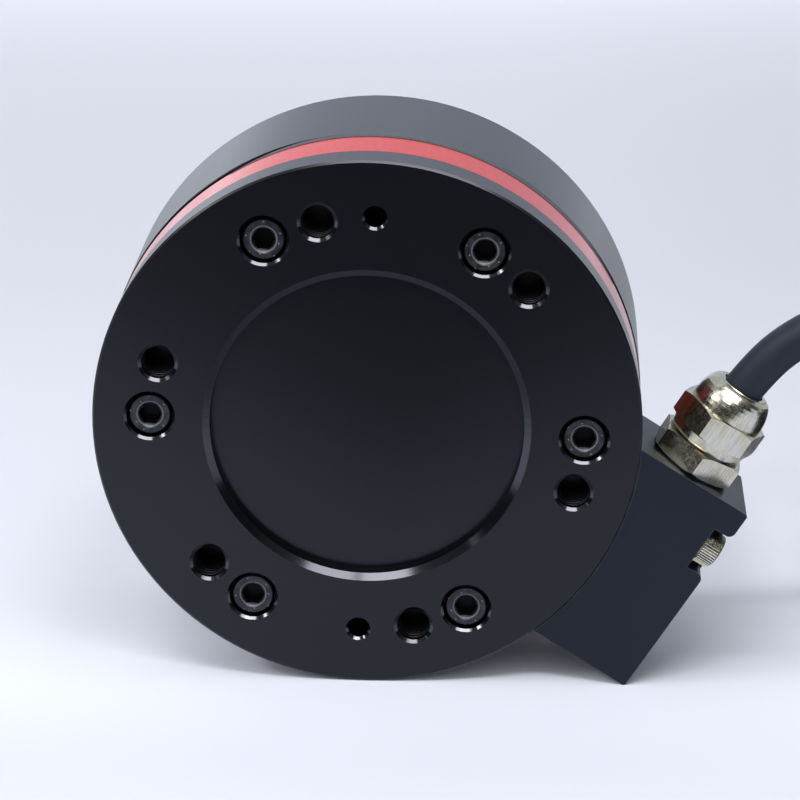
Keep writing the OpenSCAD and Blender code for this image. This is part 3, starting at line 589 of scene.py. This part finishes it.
def winding_points():
    """The coiled stretch of the cable, in millimetres, without its two ends."""
    made = []
    for start, end in zip(WINDING, WINDING[1:]):
        cuts = max(2, round((end[0] - start[0]) / TURN_STEP))
        aside = end[3] if len(end) > 3 else 0.0
        for k in range(cuts):
            t = k / cuts
            ease = t * t * (3 - 2 * t)
            turn = math.radians(start[0] + (end[0] - start[0]) * t)
            reach = start[1] + (end[1] - start[1]) * t + aside * math.sin(math.pi * t)
            made.append((COIL_PLACE[0] + reach * math.cos(turn),
                         COIL_PLACE[1] + reach * math.sin(turn),
                         start[2] + (end[2] - start[2]) * ease))
    return made[1:]


class SENSOR_OT_cable(bpy.types.Operator):
    """Lays the cable from the gland over its arch into the coil and on to the connector"""

    bl_idname = "sensor.cable"
    bl_label = "Cable"

    def execute(self, context):
        sizes = context.scene.sensor.cable
        route = CABLE_ROUTE + winding_points() + TAIL_ROUTE
        path = smooth_path([Vector(p) * MM for p in route], 2 * MM)
        curve = bpy.data.curves.new("sensor_cable", "CURVE")
        curve.dimensions = "3D"
        spline = curve.splines.new("POLY")
        spline.points.add(len(path) - 1)
        for point, place in zip(spline.points, path):
            point.co = (*place, 1.0)
        spline.use_smooth = True
        curve.bevel_depth = sizes.diameter / 2
        curve.bevel_resolution = 8
        curve.use_fill_caps = True
        cable = bpy.data.objects.new("sensor_cable", curve)
        context.scene.collection.objects.link(cable)
        curve.materials.append(self.jacket(sizes.jacket))
        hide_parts("cable", "cable_coil", "cable_tail")
        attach(cable, BODY)
        return {"FINISHED"}

    def jacket(self, colour):
        made = Finish("cable_jacket_finish", specular_ior_level=0.18, sheen_weight=0.05,
                      sheen_roughness=0.5)
        w = made.w
        grain = grained(w, 0.35, 10)
        made.set("Base Color", w.mix(grain["Clouds"], rgba(colour, 0.9), rgba(colour, 1.15)))
        made.set("Roughness", w.spread(grain["Clouds"], 0.3, 0.7, 0.46, 0.56))
        made.set("Normal", made.bump(grain["Grain"], 0.01 * MM))
        return made.material


# ---- body


class SENSOR_OT_body(bpy.types.Operator):
    """Gives the front plate and the rear housing their anodised finish"""

    bl_idname = "sensor.body"
    bl_label = "Body"

    def execute(self, context):
        colour = context.scene.sensor.finish.anodised
        dress(anodised_finish("anodised_body_finish", colour), "front_plate", "rear_housing")
        return {"FINISHED"}


class SENSOR_OT_label(bpy.types.Operator):
    """Wraps the bare red label film round the front plate's skirt"""

    bl_idname = "sensor.label"
    bl_label = "Label"

    # The print's two ends, its thickness and the radius that it lies on
    START = math.radians(-1.5)
    END = math.radians(191)
    FILM = 0.12 * MM
    UNDER = 54.72 * MM
    # The clear edge of the film, where it was laid askew and reaches over the gap: its two
    # ends, how far its middle reaches and its ends stay back, its lap over the print and its
    # height over the housing
    EDGE_START = math.radians(27)
    EDGE_END = math.radians(121)
    EDGE_REACH = 1.2 * MM
    EDGE_BACK = 0.8 * MM
    EDGE_LAP = 0.3 * MM
    EDGE_LIFT = 0.02 * MM
    # The print narrows on the left: from which turn, over how many degrees, and by how much
    TAPER_FROM = 88
    TAPER_OVER = 36
    TAPER = 1.15 * MM

    def execute(self, context):
        colour = context.scene.sensor.finish.label
        low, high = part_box("label_band")
        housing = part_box("rear_housing")[0].y
        film = self.strip(
            "label_film", self.START, self.END, 200,
            lambda turn: ((self.UNDER, low.y), (self.UNDER, self.rear(turn, high.y))))
        assign(film, self.film(colour))
        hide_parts("label_band")
        edge = self.strip(
            "label_edge", self.EDGE_START, self.EDGE_END, 90,
            lambda turn: self.veil(turn, self.rear(turn, high.y) - self.EDGE_LAP, housing))
        assign(edge, self.clear())
        for piece in (film, edge):
            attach(piece, BODY)
        return {"FINISHED"}

    def rear(self, turn, widest):
        """Rear edge of the red print, which runs a little forward on the left."""
        t = min(1.0, max(0.0, (math.degrees(turn) - self.TAPER_FROM) / self.TAPER_OVER))
        return widest - self.TAPER * t * t * (3 - 2 * t)

    def veil(self, turn, low, housing):
        """Edges of the clear film: it grows out of the print, onto the rear housing."""
        t = (turn - self.EDGE_START) / (self.EDGE_END - self.EDGE_START)
        reach = self.EDGE_REACH * math.sqrt(max(0.0, math.sin(math.pi * t))) - self.EDGE_BACK
        # it widens over the first eighth and narrows over the last fifth
        grown_by = min(1.0, 8 * t, 5 * (1 - t)) + 0.02
        inner = self.UNDER + self.FILM
        return ((inner, low), (inner + (BODY_R + self.EDGE_LIFT - inner) * grown_by,
                               low + (housing + reach - low) * grown_by))

    def strip(self, name, start, end, steps, edges):
        """A thin band round the body between two edges, each given as radius and depth."""
        made = bmesh.new()
        rows = []
        for k in range(steps + 1):
            turn = start + (end - start) * k / steps
            (r_low, low), (r_rear, rear) = edges(turn)
            ring = [(r_low + self.FILM, low), (r_rear + self.FILM, rear), (r_rear, rear),
                    (r_low, low)]
            rows.append([made.verts.new((r * math.cos(turn), y, r * math.sin(turn)))
                         for r, y in ring])
        for a, b in zip(rows, rows[1:]):
            for i in range(4):
                j = (i + 1) % 4
                made.faces.new((a[i], a[j], b[j], b[i]))
        made.faces.new(rows[0])
        made.faces.new(reversed(rows[-1]))
        bmesh.ops.recalc_face_normals(made, faces=made.faces)
        mesh = bpy.data.meshes.new(name)
        made.to_mesh(mesh)
        made.free()
        for face in mesh.polygons:
            face.use_smooth = True
        mesh.set_sharp_from_angle(angle=math.radians(35))
        return mesh_piece(name, mesh)

    def clear(self):
        """Clear laminate, which veils what lies under it."""
        made = Finish("label_edge_finish", alpha=0.8, roughness=0.22)
        grain = grained(made.w, 0.9, 6)
        made.set("Base Color", made.w.mix(grain["Clouds"], rgba((0.030, 0.031, 0.034)),
                                          rgba((0.070, 0.071, 0.076))))
        made.set("Normal", made.bump(grain["Clouds"], 0.06 * MM))
        return made.material

    def film(self, colour):
        """The red print, with a painted shade: other pieces mirror it darker than it shows."""
        made = Finish("label_film_finish", specular_ior_level=0.3)
        w = made.w
        grain = grained(w, 0.8, 8)
        mirrored = w.add("ShaderNodeLightPath").outputs["Is Glossy Ray"]
        # painted shade: in reflections the print is darkened to 0.4 of its colour
        made.set("Base Color", w.scale(
            w.mix(grain["Clouds"], rgba(colour, 0.93), rgba(colour, 1.06)),
            w.math("MULTIPLY_ADD", mirrored, -0.6, 1.0)))
        made.set("Roughness", w.spread(grain["Grain"], 0.3, 0.7, 0.38, 0.46))
        facing = w.add("ShaderNodeLayerWeight", {"Blend": 0.5}).outputs["Facing"]
        made.set("Coat Weight", w.spread(facing, 0.68, 0.88, 0.05, 0.85))
        made.set("Coat Roughness", 0.12)
        made.set("Normal", made.bump(grain["Clouds"], 0.03 * MM))
        return made.material


# ---- cable box, gland, screws


class SENSOR_OT_cable_box(bpy.types.Operator):
    """Gives the cable box its finish"""

    bl_idname = "sensor.cable_box"
    bl_label = "Cable box"

    def execute(self, context):
        colour = context.scene.sensor.finish.box
        made = Finish("cable_box_finish", specular_ior_level=0.22)
        w = made.w
        grain = grained(w, 0.3, 18)
        glint = shared(w, "painted_edge_glint", {"Width": 0.22 * MM, "Patch size": 5 * MM})
        dust = shared(w, "dust_specks", {"Spacing": 7 * MM, "Speck": 0.012})
        base = w.mix(w.spread(grain["Clouds"], 0.3, 0.7), rgba(colour, 0.92), rgba(colour, 1.1))
        # painted highlight: pale lines along the box's outer edges
        base = w.mix(w.product(glint["Mask"], 0.6), base, rgba((0.16, 0.17, 0.19)))
        made.set("Base Color", w.mix(dust["Mask"], base, rgba((0.12, 0.12, 0.13))))
        made.set("Roughness", w.spread(grain["Clouds"], 0.3, 0.7, 0.30, 0.36))
        made.set("Normal", made.bump(grain["Grain"], 0.004 * MM))
        dress(made.material, "cable_box")
        dress(plain_finish("gasket_rubber", (0.02, 0.02, 0.02), 0.6), "box_gasket", "gap_seal",
              "gland_ring", "gland_seal")
        return {"FINISHED"}


class SENSOR_OT_screws(bpy.types.Operator):
    """Gives the black socket screws and the nickel box screws their finishes"""

    bl_idname = "sensor.screws"
    bl_label = "Screws"

    # On a plate screw's head: where its top ends in depth and outwards, past which it is painted
    # in shade, and the ring of painted highlight round the hexagon
    TOP_DEPTH = (1.6 * MM, 1.2 * MM)
    TOP_R = (4.05 * MM, 3.8 * MM)
    HIGHLIGHT_FROM = (2.45 * MM, 2.55 * MM)
    HIGHLIGHT_TO = (2.78 * MM, 2.66 * MM)
    # How far the box's screws stand from the body's axis
    BOX_SCREW_REACH = 72 * MM

    def execute(self, context):
        finish = context.scene.sensor.finish
        dress(self.black(finish.screws), "plate_screws")
        dress(plain_finish("hub_screw_finish", finish.screws, 0.38), "hub_screws")
        self.marks(plain_finish("punch_mark_finish", (0.12, 0.12, 0.127), 0.3))
        box_screws = ("front_box_screw", "rear_box_screw")
        # painted light: the box screws get the nickel darkened to 0.4 as painted shade, and their
        # knurl ridges the nickel brightened to 1.35 as painted highlight
        painted_shade_colour, ridge = rgba(finish.nickel, 0.4)[:3], rgba(finish.nickel, 1.35)[:3]
        dress(nickel_finish("screw_painted_shade_nickel_finish", painted_shade_colour, roughness=0.3), *box_screws)
        ridge = nickel_finish("knurl_painted_highlight_nickel_finish", ridge, roughness=0.2)
        for node in box_screws:
            self.knurl(node, ridge)
        return {"FINISHED"}

    def black(self, colour):
        """Blackened heads, painted in shade off the top; all six are folded onto one by the turn.
        """
        made = Finish("screw_black_finish")
        w = made.w
        grain = grained(w, 0.22, 1.5)
        place = w.parts(w.place())
        turn = w.math("SUBTRACT", w.math("ARCTAN2", place["Z"], place["X"]), ROLL)
        step = math.tau / HOLE_COUNT
        nearest = w.product(w.math("ROUND", w.math("DIVIDE", turn, step)), step)
        turn = w.math("SUBTRACT", turn, nearest)
        radius = w.slant(place["X"], place["Z"])
        away = w.slant(w.math("SUBTRACT", w.product(radius, w.math("COSINE", turn)), HOLE_R),
                       w.product(radius, w.math("SINE", turn)))
        top = w.product(w.spread(place["Y"], *self.TOP_DEPTH), w.spread(away, *self.TOP_R))
        # painted highlight: a pale ring round the hexagon's rim
        ring = w.product(w.spread(away, *self.HIGHLIGHT_FROM), w.spread(away, *self.HIGHLIGHT_TO))
        face = w.mix(w.spread(grain["Clouds"], 0.35, 0.65), rgba(colour, 0.1), rgba(colour, 0.85))
        face = w.mix(ring, face, rgba(colour, 5.0))
        # painted shade: all but the top of the head is painted near black, with little gloss
        made.set("Base Color", w.mix(top, rgba(colour, 0.08), face))
        made.set("Specular IOR Level", w.math("MULTIPLY_ADD", top, 0.3, 0.08))
        made.set("Roughness", w.spread(grain["Grain"], 0.3, 0.7, 0.30, 0.46))
        made.set("Normal", made.bump(grain["Clouds"], 0.03 * MM))
        return made.material

    def marks(self, material):
        """Small punch marks on the socket heads, of no lettering."""
        values = {**ON_CIRCLE, "Turn": -ROLL, "Tilt": -1.0, "Depth": 1.1 * MM, "Ring": 3.3 * MM,
                  "Marks": 9, "Mark size": 0.2 * MM, "Seed": 4}
        tree, w, inp, out = geometry_tree("punch_marks", values)

        def chance(low, high):
            return w.one("FunctionNodeRandomValue", {0: low, 1: high, "Seed": inp["Seed"]},
                         data_type="FLOAT_VECTOR")

        ring = w.one("GeometryNodeMeshCircle", {"Vertices": inp["Marks"], "Radius": inp["Ring"]})
        astray = 0.6 * MM
        ring = w.one("GeometryNodeSetPosition", {
            "Geometry": ring,
            "Offset": chance((-astray, -astray, 0.0), (astray, astray, 0.0))})
        dot = w.one("GeometryNodeMeshIcoSphere", {"Radius": inp["Mark size"], "Subdivisions": 2})
        dots = w.one("GeometryNodeInstanceOnPoints", {
            "Points": ring, "Instance": dot,
            "Scale": chance((0.5, 0.5, 0.3), (1.2, 1.0, 0.5))})
        set_out_on_circle(w, inp, out, dots, chance((0.0, 0.0, 0.0), (0.0, 0.0, math.tau)))
        grown("screw_marks", tree, values, material)

    def knurl(self, node, material):
        """Fine ridges round a box screw's head."""
        middle = (lowest(node) + highest(node)) / 2
        away = Vector((math.cos(BOX_HEADING), 0, math.sin(BOX_HEADING)))
        across = Vector((-away.z, 0, away.x))
        place = self.BOX_SCREW_REACH * away + middle.dot(across) * across
        place.y = middle.y
        values = {"Radius": 3.53 * MM, "Ridges": 40, "Length": 3.3 * MM, "Width": 0.15 * MM,
                  "Place": tuple(place), "Turn": (0.0, math.pi / 2 - BOX_HEADING, 0.0)}
        tree, w, inp, out = geometry_tree("knurl_" + node, values)
        ridge = w.one("GeometryNodeMeshCylinder", {
            "Vertices": 6, "Radius": inp["Width"], "Depth": inp["Length"]})
        circle = w.one("GeometryNodeMeshCircle", {"Vertices": inp["Ridges"],
                                                  "Radius": inp["Radius"]})
        ridges = w.one("GeometryNodeInstanceOnPoints", {"Points": circle, "Instance": ridge})
        close_tree(w, inp, out, ridges, inp["Turn"], inp["Place"])
        grown(node + "_knurl", tree, values, material)


class SENSOR_OT_threads(bpy.types.Operator):
    """Cuts the turns of the thread in the tapped holes of both mounting faces"""

    bl_idname = "sensor.threads"
    bl_label = "Threads"

    FIRST_TURN = 0.75 * MM

    def execute(self, context):
        made = Finish("thread_finish", base_color=(0.003, 0.003, 0.004), specular_ior_level=0.12)
        grain = grained(made.w, 0.3, 3)
        made.set("Roughness", made.w.spread(grain["Clouds"], 0.3, 0.7, 0.34, 0.5))
        material = made.material
        for name, tilt, turn, depth in (
            ("front_threads", -1.0, -TAPPED_TURN, self.FIRST_TURN),
            ("rear_threads", 1.0, TAPPED_TURN, BODY_REAR - self.FIRST_TURN),
        ):
            values = {**ON_CIRCLE, "Turn": turn, "Tilt": tilt, "Depth": depth, "Bore": 3.4 * MM,
                      "Pitch": 1.25 * MM, "Turns": 7.0, "Crest": 0.3 * MM}
            tree, w, inp, out = geometry_tree(name, values)
            turns = w.one("GeometryNodeCurveSpiral", {
                "Resolution": 36, "Rotations": inp["Turns"], "Start Radius": inp["Bore"],
                "End Radius": inp["Bore"],
                "Height": w.product(inp["Turns"], inp["Pitch"])})
            crest = w.one("GeometryNodeCurvePrimitiveCircle", {
                "Resolution": 3, "Radius": inp["Crest"]}, mode="RADIUS")
            thread = w.one("GeometryNodeCurveToMesh", {
                "Curve": turns, "Profile Curve": crest, "Fill Caps": True})
            set_out_on_circle(w, inp, out, thread)
            grown(name, tree, values, material)
        return {"FINISHED"}


class SENSOR_OT_gland(bpy.types.Operator):
    """Gives the cable gland its nickel plating"""

    bl_idname = "sensor.gland"
    bl_label = "Cable gland"

    def execute(self, context):
        nickel = context.scene.sensor.finish.nickel
        turn = (0, -(math.pi / 2 + BOX_HEADING), 0)
        dress(nickel_finish("gland_nickel_finish", nickel, turn=turn, roughness=0.2),
              "gland_body", "dome_nut")
        dress(plain_finish("gland_claw_finish", (0.62, 0.62, 0.58), 0.4), "gland_claw")
        return {"FINISHED"}


class SENSOR_OT_connector(bpy.types.Operator):
    """Finishes the connector on the cable's end and the coil's ties"""

    bl_idname = "sensor.connector"
    bl_label = "Connector and ties"

    def execute(self, context):
        nickel = context.scene.sensor.finish.nickel
        dress(nickel_finish("plug_nickel_finish", nickel, turn=(0, 0, math.pi / 2)),
              "plug_clamp", "plug_shell", "plug_coupling")
        dress(plain_finish("plug_insert_finish", (0.016, 0.016, 0.017), 0.4), "plug_insert")
        dress(plain_finish("contact_finish", (0.85, 0.62, 0.25), 0.2, metallic=1.0,
                           depth=0.004 * MM), "plug_contacts")
        dress(plain_finish("tie_finish", (0.018, 0.018, 0.019), 0.55), "cable_ties")
        return {"FINISHED"}


class SENSOR_OT_inner_pieces(bpy.types.Operator):
    """Finishes what the body holds: the measuring element, its gauges and the board"""

    bl_idname = "sensor.inner_pieces"
    bl_label = "Inner pieces"

    def execute(self, context):
        for name, colour, roughness, metallic, nodes in (
            ("element_steel_finish", (0.56, 0.56, 0.57), 0.24, 1.0, ["measuring_element"]),
            ("gauge_foil_finish", (0.62, 0.27, 0.04), 0.35, 0.0,
             ["strain_gauges", "flex_circuit"]),
            ("board_green_finish", (0.012, 0.10, 0.032), 0.3, 0.0, ["circuit_board"]),
            ("chip_black_finish", (0.014, 0.014, 0.015), 0.45, 0.0, ["board_chips"]),
            ("board_screw_finish", (0.66, 0.65, 0.62), 0.25, 1.0, ["board_screws"]),
            ("socket_plastic_finish", (0.62, 0.60, 0.52), 0.4, 0.0,
             ["flex_socket", "leads_socket"]),
            ("lead_wires_finish", (0.52, 0.45, 0.33), 0.5, 0.0, ["sensor_leads"]),
        ):
            dress(plain_finish(name, colour, roughness, metallic=metallic, depth=0.006 * MM),
                  *nodes)
        return {"FINISHED"}


# ---- stage


class SENSOR_OT_stage(bpy.types.Operator):
    """Lays the floor and sets the lamps and the room's light"""

    bl_idname = "sensor.stage"
    bl_label = "Stage"

    FLOOR_REACH = 6.0
    # The floor lies this far below the body, so that no two faces share a plane
    FLOOR_GAP = 0.02 * MM
    # Each lamp: the way towards it from the object, its distance, width, depth and share of
    # the key's power
    LAMPS = {
        "key": ((0.0, -0.53, 1.0), 1.2, 0.80, 0.10, 1.0),
        "left": ((-1.14, -0.50, 1.0), 1.6, 0.50, 0.20, 0.9),
    }
    # Painted reflection, the floor's tone as mirrors show it, ahead, to the left and behind: from
    # and to, and the tone at each end
    MIRRORED_AHEAD = (-0.19, -0.05, 0.15, 1.22)
    MIRRORED_LEFT = (-0.01, -0.06, 1.0, 1.15)
    MIRRORED_BEHIND = (0.0, 0.03, 1.0, 0.72)
    # Painted shade: its tone from front to back, in the same way
    PAINTED_SHADE_BANDS = ((-0.045, -0.002, 0.90, 1.0), (0.0, 0.06, 1.0, 0.905), (0.06, 0.32, 1.0, 0.88))
    # Painted light: where it grows paler again far behind, over how much, how steeply and by how
    # much
    PAINTED_LIGHT_RISE = (0.06, 0.58, 5.0, 0.24)
    # Painted light and shade in soft patches: how much paler each is, and how it fades in along X
    # or Y
    PAINTED_LIGHT_AND_SHADE_PATCHES = (
        (-0.06, ("X", 0.0, 0.14), ("Y", 0.0, 0.3)),
        (0.27, ("X", -0.066, -0.036), ("X", 0.02, 0.0), ("Y", 0.0, 0.022), ("Y", 0.11, 0.06)),
        (0.20, ("X", 0.075, 0.092), ("Y", 0.01, 0.06), ("Y", 0.13, 0.08)),
    )
    # The room's light, away from and towards its brightest side, and the way there
    SOFT = ((0.15, 0.155, 0.165), (1.28, 1.31, 1.37))
    SOFT_WAY = (-0.42, -0.50, 0.757)
    # The room as the eye sees it, low and high
    SEEN = ((0.74, 0.78, 0.86), (0.66, 0.71, 0.80))
    # The room as mirrors show it: behind on the left and right, low on the left, and ahead,
    # low and high
    BEHIND = ((0.75, 0.82, 0.98), (0.61, 0.68, 0.81))
    LOW_LEFT = (1.35, 1.45, 1.58)
    AHEAD = ((0.03, 0.032, 0.036), (0.30, 0.31, 0.34))
    # Panels that only mirrors show: from and to, sideways and towards the back, as shares of
    # the height, and strength
    PANELS = (
        (-0.26, 0.62, -1.02, -0.22, 14.0), (-1.5, -0.85, -1.02, -0.22, 4.0),
        (-0.55, -0.03, -1.6, -1.08, 11.0), (0.02, 0.56, -1.6, -1.08, 9.5),
        (-2.5, -1.9, -2.2, -1.6, 2.5),
    )
    PANEL_COLOUR = (0.92, 0.91, 1.05)
    PANEL_SOFT = 0.03

    def execute(self, context):
        sizes = context.scene.sensor.stage
        mesh = bpy.data.meshes.new("floor")
        made = bmesh.new()
        bmesh.ops.create_grid(made, x_segments=2, y_segments=2, size=self.FLOOR_REACH)
        bmesh.ops.translate(made, verts=made.verts, vec=(0, 0, FLOOR_Z - self.FLOOR_GAP))
        made.to_mesh(mesh)
        made.free()
        floor = mesh_piece("floor", mesh, self.paper(sizes.floor))
        for name, (way, distance, width, depth, share) in self.LAMPS.items():
            light = bpy.data.lights.new(name, "AREA")
            light.shape = "RECTANGLE"
            light.size = width
            light.size_y = depth
            light.energy = sizes.key * share
            lamp = bpy.data.objects.new(name, light)
            context.scene.collection.objects.link(lamp)
            direction = Vector(way).normalized()
            lamp.location = direction * distance
            lamp.rotation_euler = direction.to_track_quat("Z", "Y").to_euler()
        self.room(context.scene, sizes.fill)
        context.scene.view_settings.view_transform = "Standard"
        return {"FINISHED"}

    def paper(self, colour):
        """Pale paper with painted light and shade; mirrors show it painted dark far in front of
        the body.
        """
        made = Finish("floor_paper", roughness=0.9, specular_ior_level=0.1)
        w = made.w
        place = w.parts(w.place())
        x, y = place["X"], place["Y"]
        mirrored = w.add("ShaderNodeLightPath").outputs["Is Glossy Ray"]
        near = w.math("MULTIPLY_ADD", w.math("ABSOLUTE", x), 1.3, y)
        # painted reflection: mirrors show the paper ahead darker, paler to the left and darker
        # behind
        ahead = w.product(w.spread(near, *self.MIRRORED_AHEAD), w.spread(x, *self.MIRRORED_LEFT),
                          w.spread(y, *self.MIRRORED_BEHIND))
        tone = w.math("ADD", 1.0, w.product(mirrored, w.math("SUBTRACT", ahead, 1.0)))
        # painted shade in bands from front to back, painted light far behind and in soft patches
        for band in self.PAINTED_SHADE_BANDS:
            tone = w.product(tone, w.spread(y, *band))
        start, reach, steepness, gain = self.PAINTED_LIGHT_RISE
        rise = w.math("MAXIMUM", w.math("DIVIDE", w.math("SUBTRACT", y, start), reach), 0.0)
        rise = w.math("POWER", w.math("MINIMUM", rise, 1.2), steepness)
        tone = w.product(tone, w.math("MULTIPLY_ADD", rise, gain, 1.0))
        for paler, *fades in self.PAINTED_LIGHT_AND_SHADE_PATCHES:
            inside = w.product(*(w.spread(place[axis], *ends) for axis, *ends in fades))
            tone = w.product(tone, w.math("MULTIPLY_ADD", inside, paler, 1.0))
        # painted reflection: mirrors show the paper in front of the body cooler
        cool = rgba((colour[0] * 0.93, colour[1] * 0.96, min(colour[2] * 1.1, 1.0)))
        shown = w.mix(w.product(mirrored, w.spread(y, 0.02, 0.0)), rgba(colour), cool)
        made.set("Base Color", w.scale(shown, tone))
        return made.material

    def between(self, w, value, low, high):
        """One where a value lies between two others, with narrow soft ends."""
        return w.product(w.spread(value, low - self.PANEL_SOFT, low + self.PANEL_SOFT),
                         w.spread(value, high + self.PANEL_SOFT, high - self.PANEL_SOFT))

    def blend(self, w, factor, colours, gain=1.0):
        return w.mix(factor, *(rgba(colour, gain) for colour in colours))

    def room(self, scene, fill):
        """Pale all round where it shows, and the room's real light elsewhere."""
        world = bpy.data.worlds.new("room")
        scene.world = world
        world.use_nodes = True
        w = Wiring(world.node_tree)
        way = w.add("ShaderNodeTexCoord").outputs["Generated"]
        x, y, z = w.parts(way)
        path = w.add("ShaderNodeLightPath").outputs
        behind = self.blend(w, w.spread(x, 0.0, 0.25), self.BEHIND)
        low_left = w.product(w.spread(x, -0.10, -0.30), w.spread(z, 0.18, 0.02))
        behind = w.mix(low_left, behind, rgba(self.LOW_LEFT))
        ahead = self.blend(w, w.spread(z, 0.25, 0.6), self.AHEAD)
        # panels overhead, as small mirrors such as chamfers show them
        height = w.math("MAXIMUM", z, 0.01)
        across, deep = w.math("DIVIDE", x, height), w.math("DIVIDE", y, height)
        for left, right, near, far, strength in self.PANELS:
            inside = w.product(self.between(w, across, left, right),
                               self.between(w, deep, near, far))
            ahead = w.mix(inside, ahead, rgba(self.PANEL_COLOUR, strength))
        glossy = w.mix(w.spread(y, 0.1, -0.15), behind, ahead)
        towards = w.add("ShaderNodeVectorMath", {0: way, 1: self.SOFT_WAY},
                        operation="DOT_PRODUCT").outputs["Value"]
        soft = self.blend(w, w.spread(towards, -0.3, 1.0), self.SOFT, fill)
        seen = self.blend(w, w.spread(z, -0.3, 0.5), self.SEEN)
        lit = w.mix(path["Is Glossy Ray"], soft, glossy)
        pale = w.math("MAXIMUM", path["Is Camera Ray"], path["Is Transmission Ray"])
        colour = w.mix(pale, lit, seen)
        sky = w.add("ShaderNodeBackground", {"Color": colour, "Strength": 1.0})
        w.feed(w.add("ShaderNodeOutputWorld").inputs["Surface"], sky.outputs[0])


# ---- panel and registration

OPERATORS = (
    SENSOR_OT_camera, SENSOR_OT_cable, SENSOR_OT_body, SENSOR_OT_label, SENSOR_OT_screws,
    SENSOR_OT_threads, SENSOR_OT_cable_box, SENSOR_OT_gland, SENSOR_OT_connector,
    SENSOR_OT_inner_pieces, SENSOR_OT_stage,
)


class SENSOR_PT_panel(bpy.types.Panel):
    """Lists the sensor's settings and pieces"""

    bl_idname = "SENSOR_PT_panel"
    bl_label = "Force torque sensor"
    bl_space_type = "VIEW_3D"
    bl_region_type = "UI"
    bl_category = "Sensor"

    def draw(self, context):
        settings = context.scene.sensor
        for group in (settings.camera, settings.cable, settings.finish, settings.stage):
            box = self.layout.box()
            for name in group.__annotations__:
                box.prop(group, name)
        for operator in OPERATORS:
            self.layout.operator(operator.bl_idname)


CLASSES = (SensorCamera, SensorCable, SensorFinish, SensorStage, SensorSettings, *OPERATORS,
           SENSOR_PT_panel)


def register():
    for item in CLASSES:
        bpy.utils.register_class(item)
    bpy.types.Scene.sensor = bpy.props.PointerProperty(type=SensorSettings)


def unregister():
    del bpy.types.Scene.sensor
    for item in reversed(CLASSES):
        bpy.utils.unregister_class(item)


def main():
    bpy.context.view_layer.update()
    register()
    for operator in OPERATORS:
        group, name = operator.bl_idname.split(".")
        getattr(getattr(bpy.ops, group), name)()
    bpy.context.view_layer.update()


if __name__ == "__main__":
    main()
